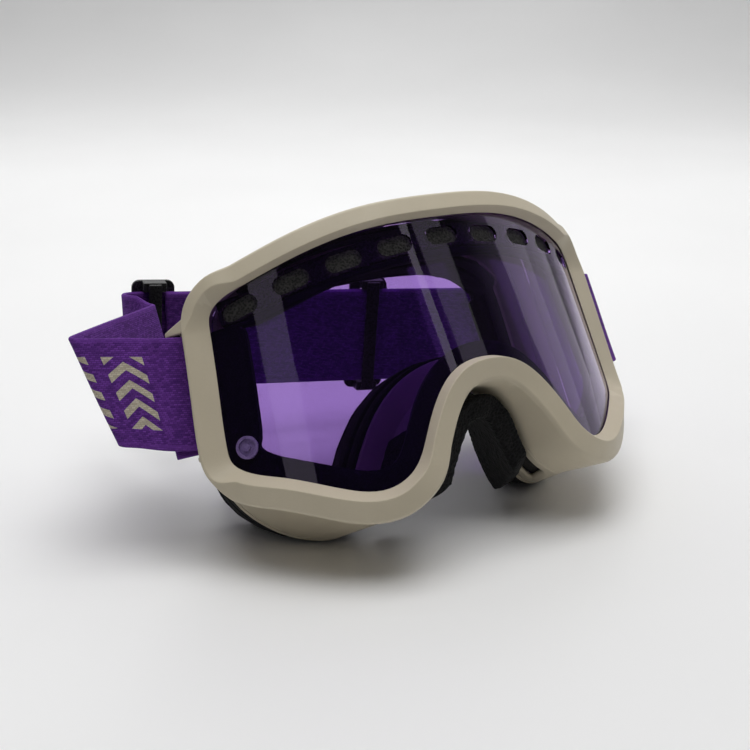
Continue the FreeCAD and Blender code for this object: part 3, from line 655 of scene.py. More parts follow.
def zigzag(nt, along, across):
    """1 on stacks of plain chevrons, one stack in each stretch of MOTIF."""
    period = 2 * MOTIF_HALF / MOTIF_ROWS
    low = math_node(nt, "LESS_THAN", math_node(nt, "ABSOLUTE", across), MOTIF_HALF)
    total = 0.0
    for start, end in MOTIF:
        aside = math_node(nt, "ABSOLUTE", math_node(nt, "SUBTRACT", along, (start + end) / 2))
        lifted = math_node(nt, "MULTIPLY_ADD", aside, MOTIF_SLOPE, across)
        wave = math_node(nt, "PINGPONG", lifted, period / 2)
        stripe = math_node(nt, "GREATER_THAN", wave, period * MOTIF_BARE)
        inside = math_node(nt, "LESS_THAN", aside, (end - start) / 2)
        total = math_node(nt, "MULTIPLY_ADD", stripe, inside, total)
    return math_node(nt, "MULTIPLY", total, low)


def thread_material():
    mat, nt, shader, where = new_material("thread")
    colour = ramp(nt, noise_of(nt, where, 0.25),
                  ((0.3, (0.16, 0.05, 0.34)), (0.7, (0.27, 0.11, 0.50))))
    finished(nt, shader, colour, None, ((noise_of(nt, where, 0.12), 0.03, 0.6),),
             {"Roughness": 0.6, "Sheen Weight": 0.3})
    return mat


BEIGE = moulded_beige()
GASKET = foam("gasket_foam", (0.004, 0.004, 0.005), (0.018, 0.018, 0.020), 0.5, 0.06)
OPEN_CELL = foam("open_cell_foam", (0.006, 0.006, 0.006), (0.060, 0.058, 0.056), 0.75, 0.45)
FACE_FOAM = foam("face_foam", (0.003, 0.003, 0.004), (0.020, 0.020, 0.022), 0.8, 0.22)
NOSE_FOAM = foam("nose_foam", (0.001, 0.001, 0.001), (0.012, 0.012, 0.013), 0.9, 0.35)
FLEECE = fleece()
SLIDER = moulded_black("slider_nylon", 0.22)
POST_NYLON = moulded_black("post_nylon", 0.38)
DISC = breather_plastic()
THREAD = thread_material()
WEB = knitted_webbing("webbing_knit", False)
WEB_LEFT = knitted_webbing("webbing_knit_motif", True)


# ------------------------------------------------------------------ frame pieces
def front_frame():
    corners = []
    for i in range(len(RIM["top"])):
        mn = zone_mix(lambda zone: RIM[zone][i])
        corners.append(lens_rail(mn[:, 0], mn[:, 1]))
    rails = divided(rounded(corners, RIM_RADII, 5), 3.0)
    piece = ring_piece("front_frame_shell", rails, BEIGE)
    weighted(piece)
    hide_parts("front_frame")
    return piece


UPPER_EAR = ((-11.0, 0.0), (2.7, 0.0), (2.7, 1.8), (0.5, EAR_T), (-7.0, 5.0), (-11.0, 5.0))
LOWER_EAR = ((-6.0, 0.0), (2.7, 0.0), (2.7, 1.8), (1.0, EAR_T), (-1.5, 5.5), (-6.0, 6.5))


def strap_ears():
    """The four moulded ears that hold the ends of the strap posts."""
    verts, faces = [], []
    a = math.atan2(POST.x, -POST.y)
    along = Vector((math.cos(a), math.sin(a), 0.0))
    outward = Vector((math.sin(a), -math.cos(a), 0.0))
    for side in (-1, 1):
        for up, outline in ((1, UPPER_EAR), (-1, LOWER_EAR)):
            base = len(verts)
            for depth in (EAR_FRONT, EAR_BACK):
                for t, lift in outline:
                    q = POST + along * t + outward * depth
                    verts.append((side * q.x, q.y, q.z + up * (EAR_NEAR + lift)))
            count = len(outline)
            faces.append(tuple(base + i for i in range(count)))
            faces.append(tuple(base + count + i for i in range(count)))
            faces += grid_faces(2, count, False, True, base)
    piece = mesh_piece("strap_ears", placed(verts), faces, BEIGE)
    bevelled(piece, 0.6)
    return piece


WALL_ROWS = 12
WINDOW_ROWS = range(3, 9)
NOSE_VENTS_BELOW = 20.0     # the vents beside the nose are under this height


def vent_columns(middle):
    """The columns of the wall's mesh that a vent window takes, from the wall's middle ring."""
    columns = set()
    for vents, upper in ((TOP_VENTS, True), (NOSE_VENTS, False)):
        for k in range(ROUND):
            p = (middle[k] + middle[(k + 1) % ROUND]) / 2
            if (p[2] > NOSE_VENTS_BELOW) == upper and any(abs(p[0] - x) < w / 2 for x, w in vents):
                columns.add(k)
    return columns


def face_frame():
    """The wall behind the lens, pierced by the vents, and the flange for the face foam."""
    flange = [face_rail(0.0, 0.0), face_rail(0.0, FLANGE_T), face_rail(FLANGE_W, FLANGE_T),
              face_rail(FLANGE_W, 0.0), face_rail(WALL_T, 0.0)]
    flange = divided(rounded(flange, (0.5, 0.6, 0.6, 0.6, 0.3), 3), 4.0)
    piece = ring_piece("face_flange", flange, BEIGE)
    weighted(piece)
    grids = []
    for front, back in ((wall_rail(WALL_OUT), face_rail(0.0, 0.0)),
                        (wall_rail(WALL_IN), face_rail(WALL_T, 0.0))):
        grids += [front + (back - front) * (r / WALL_ROWS) for r in range(WALL_ROWS + 1)]
    columns = vent_columns(grids[WALL_ROWS // 2])
    closed = {(r, k) for r in range(WALL_ROWS) for k in range(ROUND)
              if not (r in WINDOW_ROWS and k in columns)}
    layer = (WALL_ROWS + 1) * ROUND

    def at(r, k, side):
        return side * layer + r * ROUND + k % ROUND

    faces = []
    for r, k in sorted(closed):
        faces.append((at(r, k, 0), at(r, k + 1, 0), at(r + 1, k + 1, 0), at(r + 1, k, 0)))
        faces.append((at(r, k, 1), at(r + 1, k, 1), at(r + 1, k + 1, 1), at(r, k + 1, 1)))
        for beside, a, b in (((r - 1, k), (r, k), (r, k + 1)),
                             ((r + 1, k), (r + 1, k), (r + 1, k + 1)),
                             ((r, (k - 1) % ROUND), (r, k), (r + 1, k)),
                             ((r, (k + 1) % ROUND), (r, k + 1), (r + 1, k + 1))):
            if beside not in closed:
                faces.append((at(*a, 0), at(*b, 0), at(*b, 1), at(*a, 1)))
    wall = mesh_piece("face_frame_wall", placed(np.concatenate(grids)), faces, BEIGE)
    bm = bmesh.new()
    bm.from_mesh(wall.data)
    bmesh.ops.delete(bm, geom=[v for v in bm.verts if not v.link_faces], context="VERTS")
    bm.to_mesh(wall.data)
    bm.free()
    finer(wall)
    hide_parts("face_frame")
    return wall, piece


def softened(rail, times=8, share=0.5):
    """A ring with its tight corners drawn round, by a share that may differ along it."""
    for _ in range(times):
        beside = 0.5 * (np.roll(rail, 1, axis=0) + np.roll(rail, -1, axis=0))
        rail = rail + share * (beside - rail)
    return rail


LOW_CORNER = 9.3 * SAMPLES      # the place of the lens's low corner along the outline
LOW_CORNER_REACH = 2.6 * SAMPLES
CORNER_PASSES = 40


def window_rail(m, n, drop):
    """The window's edge in the gasket, with its two low corners drawn rounder still."""
    rail = softened(lens_rail(m, n, drop))
    place = np.arange(ROUND)
    share = np.zeros(ROUND)
    for middle in (LOW_CORNER, ROUND - LOW_CORNER):
        share += 0.5 * np.clip(1.6 * (1.0 - np.abs(place - middle) / LOW_CORNER_REACH), 0.0, 1.0)
    return softened(rail, CORNER_PASSES, share[:, None])


def slot_height(s):
    k = min(abs(s) / SLOT_PITCH, len(SLOT_HEIGHTS) - 1.001)
    j = int(k)
    return SLOT_HEIGHTS[j] + (SLOT_HEIGHTS[j + 1] - SLOT_HEIGHTS[j]) * (k - j)


def lens_gasket():
    """The foam ring between the lenses, dropped along the top to run under the slot foam."""
    front, back = -OUTER_LENS_T - FIT, INNER_N + SPACER_FIT
    inner_drop = zone_mix(lambda zone: TOP_BORDER.get(zone, 0.0))
    highest = np.array([slot_height(v) for v in LENS_P[:, 0]]) - SLOT_FOAM_LOW - SPACER_FIT
    room = LENS_P[:, 1] + LENS_EDGE_GAP * LENS_T[:, 0] - highest
    room[LENS_P[:, 1] < CORNER_Z] = 0.0
    outer_drop = np.maximum(inner_drop * OUTER_DROP, room)
    window = -zone_mix(lambda zone: BORDER[zone])
    edge = LENS_EDGE_GAP
    rails = [lens_rail(edge, front, outer_drop), lens_rail(edge, back, outer_drop),
             window_rail(window, back, inner_drop), window_rail(window, front, inner_drop)]
    piece = ring_piece("lens_gasket", divided(rounded(rails, 0.35, 3), 1.4), GASKET)
    roughen(piece, ((1.1, 0.08), (3.0, 0.08)), 1)
    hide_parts("lens_spacer_foam")
    return piece


def slot_foam():
    """The strip of open-cell foam behind the vent slots."""
    reach = SLOT_PITCH * (len(SLOT_HEIGHTS) - 1) + SLOT_FOAM_END
    s = np.linspace(-reach, reach, SLOT_FOAM_PLACES)
    z = np.array([slot_height(v) for v in s])
    front, back = -OUTER_LENS_T - FIT - SLOT_FOAM_SINK, INNER_N + FIT
    rails = [on_lens(s, z + SLOT_FOAM_UP, front), on_lens(s, z + SLOT_FOAM_UP, back),
             on_lens(s, z - SLOT_FOAM_LOW, back), on_lens(s, z - SLOT_FOAM_LOW, front)]
    piece = bar_piece("slot_vent_strip", divided(rounded(rails, 0.5, 3), 0.6), OPEN_CELL)
    roughen(piece, ((0.8, 0.16), (2.5, 0.10)), 2)
    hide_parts("slot_vent_foam")
    return piece


def wall_foam(name, node_name, first, last, seed):
    """A strip of open-cell foam inside the face frame's wall, over its vents."""
    near, far = STRIP_GAP, STRIP_GAP + STRIP_T
    front, back = wall_rail(WALL_IN), face_rail(WALL_T, 0.0)
    places = [i % ROUND for i in range(first, last + 1)]
    a = front + (back - front) * STRIP_FRONT
    b = front + (back - front) * STRIP_BACK
    corners = ((a, near), (b, near), (b, far), (a, far))
    rails = [(start + INWARD * depth)[places] for start, depth in corners]
    piece = bar_piece(name, divided(rounded(rails, 0.5, 3), 1.2), OPEN_CELL)
    roughen(piece, ((1.0, 0.2), (4.0, 0.2)), seed)
    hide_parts(node_name)
    return piece


def foam_layer(name, node_name, front, back, outer, inner, slope, radii, material, seed, grains):
    """One layer of the face foam, with soft edges. Its outer side leans in by slope."""
    middle = (front + back) / 2
    rails = [face_rail(outer, front), face_rail(outer + slope / 2 - LAYER_BULGE, middle),
             face_rail(outer + slope, back), face_rail(inner, back),
             face_rail(inner + LAYER_BULGE, middle), face_rail(inner, front)]
    piece = ring_piece(name, divided(rounded(rails, radii, 5), 1.6), material)
    roughen(piece, grains, seed)
    pressed_flat(piece)
    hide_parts(node_name)
    return piece


def face_foams():
    base = foam_layer("face_foam_base_layer", "face_foam_base", FOAM_FRONT, FACE_FRONT - LAYER_GAP,
                      0.6, FLANGE_W + 1.0, 1.2, (0.5, 2.0, 0.9, 0.9, 2.0, 0.5), FACE_FOAM, 3,
                      ((1.3, 0.10), (7.0, 0.20)))
    pad = foam_layer("face_foam_pad_layer", "face_foam_pad", FACE_FRONT, FLEECE_FRONT - LAYER_GAP,
                     1.7, FLANGE_W + 2.0, 2.6, (1.1, 3.0, 1.2, 1.2, 3.0, 1.1), FACE_FOAM, 4,
                     ((1.3, 0.12), (9.0, 0.35)))
    skin = foam_layer("face_fleece_layer", "face_fleece", FLEECE_FRONT, REAR,
                      4.3, FLANGE_W + 1.9, 0.5, (0.5, 0.5, 0.75, 0.75, 0.5, 0.5), FLEECE, 5,
                      ((1.0, 0.12), (6.0, 0.25)))
    return base, pad, skin


def round_ended(rails, count):
    """A bar's rails with the last few sections at both ends drawn in to a round end."""
    rails = np.array(rails)
    middle = rails.mean(axis=0)
    for j in range(count):
        share = math.sqrt(1.0 - (1.0 - (j + 0.5) / count) ** 2)
        for i in (j, -1 - j):
            rails[:, i] = middle[i] + (rails[:, i] - middle[i]) * share
    return rails


def nose_foam():
    """Soft foam that fills the arch over the nose, flaring towards the face."""
    keep = slice(NOSE_FIRST, NOSE_LAST + 1)
    middle = (NOSE_FIRST + NOSE_LAST) / 2
    n = NOSE_N - NOSE_SWEEP * ((np.arange(ROUND) - middle) / (NOSE_LAST - middle)) ** 2
    rear = FACE_P + np.array([0.0, NOSE_BACK, 0.0])
    rails = [lens_rail(NOSE_M, n), rear - INWARD * NOSE_GAP,
             rear - INWARD * (NOSE_GAP + NOSE_THICK), lens_rail(NOSE_M + NOSE_THICK, n - NOSE_LEAN)]
    rails = [r[keep] for r in rails]
    rails = divided(rounded(lengthened(rails, 4), 1.6, 6), 0.8)
    piece = bar_piece("nose_foam_arch", round_ended(rails, 7), NOSE_FOAM)
    roughen(piece, ((1.1, 0.22), (2.4, 0.14)), 6)
    pressed_flat(piece)
    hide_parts("nose_foam")
    return piece


# ------------------------------------------------------------------ strap
def lean_axis(lean):
    """The webbing's width direction from (lean, tilt) in degrees: lean 0 runs along the
    goggle's height and the frame's own lean is upright; tilt turns the top edge to -X."""
    a, b = math.radians(lean[0]), math.radians(lean[1])
    return Vector((-math.sin(b), -math.sin(a) * math.cos(b), math.cos(a) * math.cos(b)))


FLAT = (0.0, 0.0)
UPRIGHT = (math.degrees(LEAN), 0.0)


def from_stand(x, y, z):
    """A place given in the leaned frame, before the floor is set, in the goggle frame."""
    return STAND.transposed() @ Vector((x, y, z))


LEFT_CREASE = from_stand(-113.3, -39.0, 47.8)
REAR_LEFT = from_stand(-77.0, 37.2, 40.0)
REAR_RIGHT = from_stand(78.0, -0.6, 28.9)
RIGHT_BULGE = from_stand(106.0, -38.0, 40.0)
LEFT_FOLD = unplaced(JOINTS["rear_band_swing"]["pos_m"])
RIGHT_FOLD = Vector((LEFT_FOLD.x + 2 * POST.x, LEFT_FOLD.y, 23.0))
CREASE_LEAN = (2.0, 11.5)

# How tightly the webbing turns at those places.
CREASE_R = 1.6
FOLD_R = 2.4
REAR_LEFT_R = 5.0
REAR_RIGHT_R = 8.0
BULGE_R = 6.0


def rounded_path(corners):
    """Points along a path with rounded corners, from (corner, lean, radius): (point, lean)."""
    out = [(corners[0][0], corners[0][1])]
    for (a, _, _), (b, lean, r), (c, _, _) in zip(corners, corners[1:], corners[2:]):
        d1 = (b - a).normalized()
        d2 = (c - b).normalized()
        turn = d1.angle(d2)
        start = b - d1 * (r * math.tan(turn / 2))
        normal = (d2 - d1 * d1.dot(d2)).normalized()
        steps = max(3, int(math.degrees(turn) / 12.0) + 1)
        for k in range(steps + 1):
            swing = turn * k / steps
            out.append((start + d1 * (r * math.sin(swing)) + normal * (r * (1 - math.cos(swing))),
                        lean))
    out.append((corners[-1][0], corners[-1][1]))
    return out


STATION_STEP = 1.4


def filled(stations):
    """The same path with points added, so that no run is longer than STATION_STEP."""
    out = [stations[0]]
    for (a, la), (b, lb) in zip(stations, stations[1:]):
        n = max(1, int(math.ceil((b - a).length / STATION_STEP)))
        for k in range(1, n + 1):
            t = k / n
            lean = tuple(p + (q - p) * smooth(t) for p, q in zip(la, lb))
            out.append((a + (b - a) * t, lean))
    return out


WEB_FACE = 0.94 * STRAP_T / 2       # the webbing's flat face, from its middle
BEAD_R = 1.06 * STRAP_T / 2
BEAD_FROM_EDGE = 1.6


def web_section():
    """(across, thickness side) round the webbing's section: flat faces and beaded selvedges."""
    half = STRAP_W / 2
    flat = np.linspace(BEAD_FROM_EDGE - half, half - BEAD_FROM_EDGE, 23)
    turn = [(half - BEAD_R + BEAD_R * math.sin(a), BEAD_R * math.cos(a))
            for a in np.radians(np.linspace(25, 155, 7))]
    one_side = [(w, WEB_FACE) for w in flat] + turn
    return one_side + [(-w, -n) for w, n in one_side]


PLAIN_SIDE = 1700.0     # added along the strap on the face that carries no motif


def webbing(name, stations, material, seed, shift=0.0, ripple=0.25):
    """Elastic webbing along stations of (centre, lean), with its UVs in millimetres."""
    section = web_section()
    count = len(section)
    last = len(stations) - 1
    verts, lengths = [], []
    u = 0.0
    for i, (p, lean) in enumerate(stations):
        a, b = stations[max(i - 1, 0)][0], stations[min(i + 1, last)][0]
        if i:
            u += (p - stations[i - 1][0]).length
        along = (b - a).normalized()
        wide = lean_axis(lean)
        thin = along.cross(wide).normalized()
        for w, n in section:
            sag = noise.noise(Vector((u / 17.0, w / 23.0, seed * 5.1))) * ripple
            verts.append(p + wide * w + thin * (n + shift + sag))
        lengths.append(u)
    faces = grid_faces(last + 1, count, False, True)
    faces.append(tuple(range(count)))
    faces.append(tuple(last * count + k for k in range(count)))
    piece = mesh_piece(name, placed(verts), faces, material)
    layer = piece.data.uv_layers.new(name="strap_mm")
    for face in piece.data.polygons:
        ends = [divmod(k, count) for k in face.vertices]
        plain = sum(section[k][1] for i, k in ends) > 0.0
        for loop, (i, k) in zip(face.loop_indices, ends):
            layer.data[loop].uv = (lengths[i] + PLAIN_SIDE * plain, section[k][0])
    return piece


def post_turn(side, far):
    """Stations of the webbing's turn round a strap post, and its way out towards far."""
    centre = Vector((side * POST.x, POST.y, POST.z))
    flat = Vector((far.x - centre.x, far.y - centre.y, 0))
    rise = (far.z - centre.z) / flat.length
    flat.normalize()
    rear = Vector((-flat.y, flat.x, 0)) * side
    turn = []
    steps = 16
    for k in range(steps + 1):
        a = math.radians(90 - 180 * k / steps)
        turn.append((centre + rear * (math.sin(a) * LOOP_R) - flat * (math.cos(a) * LOOP_R), FLAT))
    out = flat + Vector((0, 0, rise))
    return centre, out, rear, turn


def strap_paths():
    """Stations of the left side with the rear band, of the right side, and of both tails."""
    corners = {-1: [(LEFT_CREASE, CREASE_LEAN, CREASE_R), (LEFT_FOLD, FLAT, FOLD_R),
                    (REAR_LEFT, UPRIGHT, REAR_LEFT_R), (REAR_RIGHT, UPRIGHT, REAR_RIGHT_R)],
               1: [(RIGHT_BULGE, FLAT, BULGE_R)]}
    paths, tails = [], []
    for side, length in ((-1, LEFT_TAIL), (1, RIGHT_TAIL)):
        centre, out, rear, turn = post_turn(side, corners[side][0][0])
        start = (centre + out * LEAD - rear * LEAD_SHIFT, FLAT, 0.0)
        run = rounded_path([start] + corners[side] + [(RIGHT_FOLD, FLAT, 0.0)])
        paths.append(filled(turn + run))
        flat = Vector((out.x, out.y, 0.0)).normalized()
        aside = centre + rear * (STRAP_T + TAIL_GAP)
        tail = [(aside + flat * length, FLAT), (aside + flat * length / 2, FLAT), turn[0]]
        tails.append(filled(tail)[:-1])
    return paths, tails


# The sliders: plate, window, end caps and the bar behind the webbing.
SLIDER_LENGTH, SLIDER_W, SLIDER_CORNER = 16.5, 46.8, 3.0
WINDOW_LENGTH, WINDOW_FIT, WINDOW_CORNER = 7.6, 0.8, 1.2
PLATE_T, PLATE_GAP = 1.8, 0.4
CAP_LENGTH, CAP_FIT, CAP_LAP = 9.0, 0.5, 0.3
BAR_LENGTH, BAR_T, BAR_GAP = 5.0, 1.7, 0.5
OVERLAP_INSET, OVERLAP_REACH = 5.0, 13.0    # the doubled webbing's ends, from the sliders


def rear_frame_at(x):
    """Centre and axes of the straight rear run where it crosses x, in the goggle frame."""
    t = (x - REAR_LEFT.x) / (REAR_RIGHT.x - REAR_LEFT.x)
    centre = REAR_LEFT + (REAR_RIGHT - REAR_LEFT) * t
    along = (REAR_RIGHT - REAR_LEFT).normalized()
    wide = lean_axis(UPRIGHT)
    wide = (wide - along * wide.dot(along)).normalized()
    return centre, along, wide, along.cross(wide).normalized()


def slider_x(node_name):
    """Where a slider's CAD node is along the rear run."""
    low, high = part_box(node_name)
    return unplaced((low + high) / 2).x


LOOP_STEPS = 6


def rounded_loop(length, width, radius):
    """Points round a rectangle with rounded corners, centred on the origin."""
    out = []
    for cx, cy, start in ((1, 1, 0), (-1, 1, 90), (-1, -1, 180), (1, -1, 270)):
        for k in range(LOOP_STEPS + 1):
            a = math.radians(start + 90 * k / LOOP_STEPS)
            out.append((cx * (length / 2 - radius) + radius * math.cos(a),
                        cy * (width / 2 - radius) + radius * math.sin(a)))
    return out


def slider(name, node_name):
    """A tri-glide slider: a plate with a window, two end caps and a bar behind the webbing."""
    near = -STRAP_T / 2 - PLATE_GAP
    far = STRAP_T * 1.5 + LAYER_GAP + BAR_GAP
    outer = rounded_loop(SLIDER_LENGTH, SLIDER_W, SLIDER_CORNER)
    inner = rounded_loop(WINDOW_LENGTH, STRAP_W + WINDOW_FIT, WINDOW_CORNER)
    front = near - PLATE_T
    verts = [(x, y, z) for loop, z in ((outer, front), (inner, front), (inner, near), (outer, near))
             for x, y in loop]
    faces = grid_faces(4, len(outer), True, True)

    def block(half_x, y0, y1, z0, z1):
        base = len(verts)
        for z in (z0, z1):
            verts.extend([(-half_x, y0, z), (half_x, y0, z), (half_x, y1, z), (-half_x, y1, z)])
        faces.extend([(base, base + 3, base + 2, base + 1), (base + 4, base + 5, base + 6, base + 7)])
        faces.extend(grid_faces(2, 4, False, True, base))

    cap = (SLIDER_W - STRAP_W) / 2 - CAP_FIT
    for end in (-1, 1):
        edge = end * SLIDER_W / 2
        y0, y1 = sorted((edge, edge - end * cap))
        block(CAP_LENGTH / 2, y0, y1, near - CAP_LAP, far + CAP_LAP)
    reach = SLIDER_W / 2 - CAP_FIT
    block(BAR_LENGTH / 2, -reach, reach, far, far + BAR_T)
    centre, along, wide, thin = rear_frame_at(slider_x(node_name))
    turned = [centre + along * x + wide * y + thin * z for x, y, z in verts]
    piece = mesh_piece(name, placed(turned), faces, SLIDER)
    bevelled(piece, 0.45)
    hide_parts(node_name)
    return piece


STITCH_SIDES = 6
STITCH_RINGS = 7
STITCH_T = 0.22
STITCH_GAP = 0.12       # share of a stitch's step that is bare at each of its ends
STITCH_PITCH = 2.2


def stitch_lines(name, seams):
    """Rows of thread stitches: each seam is (start, end, outward normal, stitch count)."""
    verts, faces = [], []
    for start, end, out, count in seams:
        step = (end - start) / count
        aside = step.normalized().cross(out).normalized()
        for i in range(count):
            base = len(verts)
            for r in range(STITCH_RINGS):
                t = r / (STITCH_RINGS - 1)
                swell = math.sqrt(max(1 - (2 * t - 1) ** 2, 0.02))
                place = i + STITCH_GAP + (1 - 2 * STITCH_GAP) * t
                middle = start + step * place + out * (0.16 * swell - 0.1)
                for k in range(STITCH_SIDES):
                    a = 2 * math.pi * k / STITCH_SIDES
                    way = aside * math.cos(a) + out * math.sin(a)
                    verts.append(middle + way * (STITCH_T * swell))
            faces += grid_faces(STITCH_RINGS, STITCH_SIDES, False, True, base)
            for end_ring in (base, base + (STITCH_RINGS - 1) * STITCH_SIDES):
                faces.append(tuple(end_ring + k for k in range(STITCH_SIDES)))
    return mesh_piece(name, placed(verts), faces, THREAD)


def tail_seams(stations, length):
    """A box stitch on the sewn end's rear face."""
    far, near = stations[0][0], stations[-1][0]
    along = (near - far).normalized()
    wide = lean_axis(FLAT)
    thin = along.cross(wide).normalized()
    if thin.y < 0:
        thin = -thin
    lift = thin * WEB_FACE
    half = wide * (STRAP_W / 2 - 3.0)
    a = far + along * 1.6 + lift
    b = far + along * (0.45 * length) + lift
    tall = 17
    short = max(2, int((b - a).length / STITCH_PITCH))
    return [(a - half, a + half, thin, tall), (b - half, b + half, thin, tall),
            (a + half, b + half, thin, short), (a - half, b - half, thin, short)]


# ------------------------------------------------------------------ build the pieces
def build_frame():
    pieces = [(front_frame(), "frame_beige"), (strap_ears(), "frame_beige")]
    wall, flange = face_frame()
    pieces += [(wall, "frame_beige"), (flange, "frame_beige")]
    gasket, slots = lens_gasket(), slot_foam()
    pieces += [(gasket, "gasket_black"), (slots, "foam_open_cell")]
    first, last = 13 * SAMPLES, 16 * SAMPLES
    strips = [wall_foam("top_vent_strip", "top_vent_foam", -3 * SAMPLES, 3 * SAMPLES, 7),
              wall_foam("lower_vent_strip_right", "lower_vent_foam_right", first, last, 8),
              wall_foam("lower_vent_strip_left", "lower_vent_foam_left",
                        ROUND - last, ROUND - first, 9)]
    pieces += [(s, "foam_open_cell") for s in strips]
    base, pad, skin = face_foams()
    nose = nose_foam()
    pieces += [(base, "foam_black"), (pad, "foam_black"), (skin, "fleece_black"),
               (nose, "foam_black")]
    for piece, slot_name in pieces:
        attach(piece, "frame")


def build_strap():
    (left, right), tails = strap_paths()
    band = webbing("strap_webbing_left", left, WEB_LEFT, seed=1)
    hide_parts("strap_left_arm", "strap_rear_band")
    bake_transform(band)
    arm = webbing("strap_webbing_right", right, WEB, seed=2)
    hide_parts("strap_right_arm")
    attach(arm, "strap_right")
    for side, stations, length in (("left", tails[0], LEFT_TAIL),
                                   ("right", tails[1], RIGHT_TAIL)):
        tail = webbing("strap_sewn_end_" + side, stations, WEB, ripple=0.05, seed=3)
        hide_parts("strap_%s_sewn_end" % side)
        seams = stitch_lines("strap_stitching_" + side, tail_seams(stations, length))
        for piece in (tail, seams):
            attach(piece, "strap_" + side)
    a = rear_frame_at(slider_x("slider_left") + OVERLAP_INSET)[0]
    b = rear_frame_at(slider_x("slider_right") + OVERLAP_REACH)[0]
    layer = webbing("strap_second_layer", filled([(a, UPRIGHT), (b, UPRIGHT)]), WEB,
                    shift=STRAP_T + LAYER_GAP, ripple=0.1, seed=4)
    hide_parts("strap_overlap")
    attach(layer, "rear_band")
    for name in ("slider_left", "slider_right"):
        piece = slider(name + "_triglide", name)
        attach(piece, name)


def dress_cad():
    """Materials for the CAD nodes that stay: lenses, breather and strap posts."""
    own = {
        "outer_lens": clear_glass("lens_purple_glass", (0.42, 0.25, 0.66)),
        "inner_lens": clear_glass("lens_inner_glass", (0.86, 0.82, 0.94)),
        "breather_disc": DISC,
        "strap_post_left": POST_NYLON,
        "strap_post_right": POST_NYLON,
    }
    for name, material in own.items():
        mesh = NODES[name].data
        mesh.materials.clear()
        mesh.materials.append(material)


build_frame()
build_strap()
dress_cad()


# ------------------------------------------------------------------ stage, light and camera
CAMERA_AZIMUTH = -32.5

# The floor and backdrop's section as (metres away from the camera, height), and its half width.
SWEEP = ((-2.0, 0.0), (0.9, 0.0), (1.3, 0.03), (1.6, 0.14), (1.8, 0.36), (1.9, 0.8), (1.9, 2.4))
SWEEP_HALF = 3.0


def studio():
    verts = [(x, y, z) for y, z in SWEEP for x in (-SWEEP_HALF, SWEEP_HALF)]
    faces = grid_faces(len(SWEEP), 2, False, False)
    mat, nt, shader, where = new_material("studio_floor")
    nt.links.new(ramp(nt, noise_of(nt, where, 300.0), ((0.3, 0.84), (0.7, 0.88))),
                 shader.inputs["Base Color"])
    shader.inputs["Roughness"].default_value = 0.45
    shader.inputs["Specular IOR Level"].default_value = 0.3
    floor = mesh_piece("studio_floor", verts, faces, mat)
    floor.matrix_world = Matrix.Rotation(math.radians(CAMERA_AZIMUTH), 4, "Z")
    finer(floor, 2)


def way_from(azimuth, elevation):
    """The unit direction of an azimuth and elevation: azimuth 0 is in front, at -Y."""
    a, e = math.radians(azimuth), math.radians(elevation)
    return Vector((math.sin(a) * math.cos(e), -math.cos(a) * math.cos(e), math.sin(e)))


BEHIND = -way_from(CAMERA_AZIMUTH, 0.0)


def area_light(name, way, distance, size, power, centre=(0.0, 0.0, 0.06)):
    """A soft box at a distance from centre, facing it."""
    lamp_data = bpy.data.lights.new(name, "AREA")
    lamp_data.shape = "RECTANGLE"
    lamp_data.size, lamp_data.size_y = size
    lamp_data.energy = power
    lamp = bpy.data.objects.new(name, lamp_data)
    lamp.location = Vector(centre) + way * distance
    lamp.rotation_mode = "QUATERNION"
    lamp.rotation_quaternion = (-way).to_track_quat("-Z", "Y")
    bpy.context.scene.collection.objects.link(lamp)


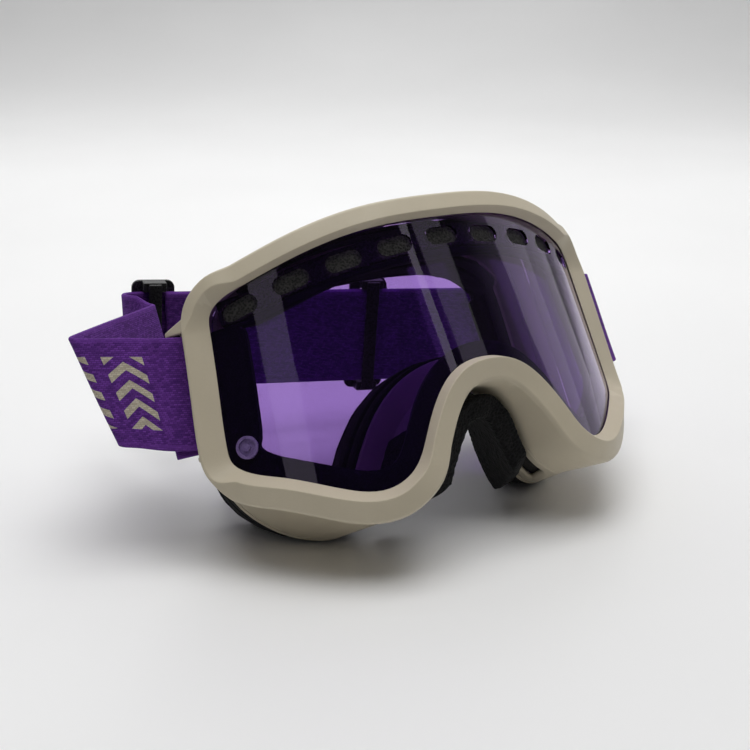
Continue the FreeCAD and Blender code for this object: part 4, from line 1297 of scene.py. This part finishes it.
def sky():
    """Light from round the set: bright behind, dark in front but for a band low down."""
    world = bpy.data.worlds.new("studio")
    world.use_nodes = True
    nt = world.node_tree
    background = nt.nodes["Background"]
    where = nt.nodes.new("ShaderNodeTexCoord")
    facing = node(nt, "ShaderNodeVectorMath", operation="DOT_PRODUCT")
    nt.links.new(where.outputs["Generated"], facing.inputs[0])
    facing.inputs[1].default_value = BEHIND
    share = math_node(nt, "MULTIPLY_ADD", facing.outputs["Value"], 0.5, 0.5)
    room = ramp(nt, share, ((0.0, 0.02), (0.5, 0.04), (0.66, 0.30), (1.0, 0.75)))
    split = nt.nodes.new("ShaderNodeSeparateXYZ")
    nt.links.new(where.outputs["Generated"], split.inputs[0])
    rise = math_node(nt, "MULTIPLY_ADD", split.outputs["Z"], 0.5, 0.5)
    low = ramp(nt, rise, ((0.455, 0.13), (0.52, 0.32), (0.585, 0.0)))
    nt.links.new(math_node(nt, "MAXIMUM", room, low), background.inputs["Color"])
    bpy.context.scene.world = world


# Soft boxes: name, azimuth, elevation, distance in metres, size in metres, power in watts.
LAMPS = (
    ("top_box", -20.0, 84.0, 1.3, (1.3, 1.0), 14.2),
    ("right_panel", 88.0, 18.0, 1.2, (0.6, 0.9), 0.9),
    ("streak_panel", 27.0, 46.0, 1.3, (0.08, 0.5), 0.12),
    ("glow_panel", 40.0, 40.0, 1.3, (0.26, 0.6), 0.22),
    ("left_panel", -54.0, 32.0, 1.3, (0.24, 0.9), 0.30),
    ("back_panel", 160.0, 40.0, 1.4, (1.2, 0.8), 4.5),
)


def light():
    sky()
    for name, azimuth, elevation, distance, size, power in LAMPS:
        area_light(name, way_from(azimuth, elevation), distance, size, power)
    area_light("backdrop_light", way_from(CAMERA_AZIMUTH, 32.0), 1.5, (2.4, 0.6), 8.5,
               centre=BEHIND * 1.7 + Vector((0.0, 0.0, 0.25)))


# The camera's place and axes, in the leaned frame before the floor is set, in mm.
EYE = Vector((-224.9, -380.3, 168.7))
RIGHTWARD = Vector((0.8431, -0.5377, 0.0))
UPWARD = Vector((0.1688, 0.265, 0.9495))
AHEAD = Vector((0.5105, 0.8005, -0.3139))
FOCAL_LENGTH = 55.87


def camera():
    data = bpy.data.cameras.new("camera")
    data.sensor_width = 36.0
    data.lens = FOCAL_LENGTH
    data.clip_start, data.clip_end = 0.01, 20.0
    cam = bpy.data.objects.new("camera", data)
    turn = Matrix((RIGHTWARD, UPWARD, -AHEAD)).transposed().to_4x4()
    cam.matrix_world = Matrix.Translation((EYE + SHIFT) * MM) @ turn
    bpy.context.scene.collection.objects.link(cam)
    bpy.context.scene.camera = cam


studio()
light()
camera()
bpy.context.scene.view_settings.view_transform = "Standard"
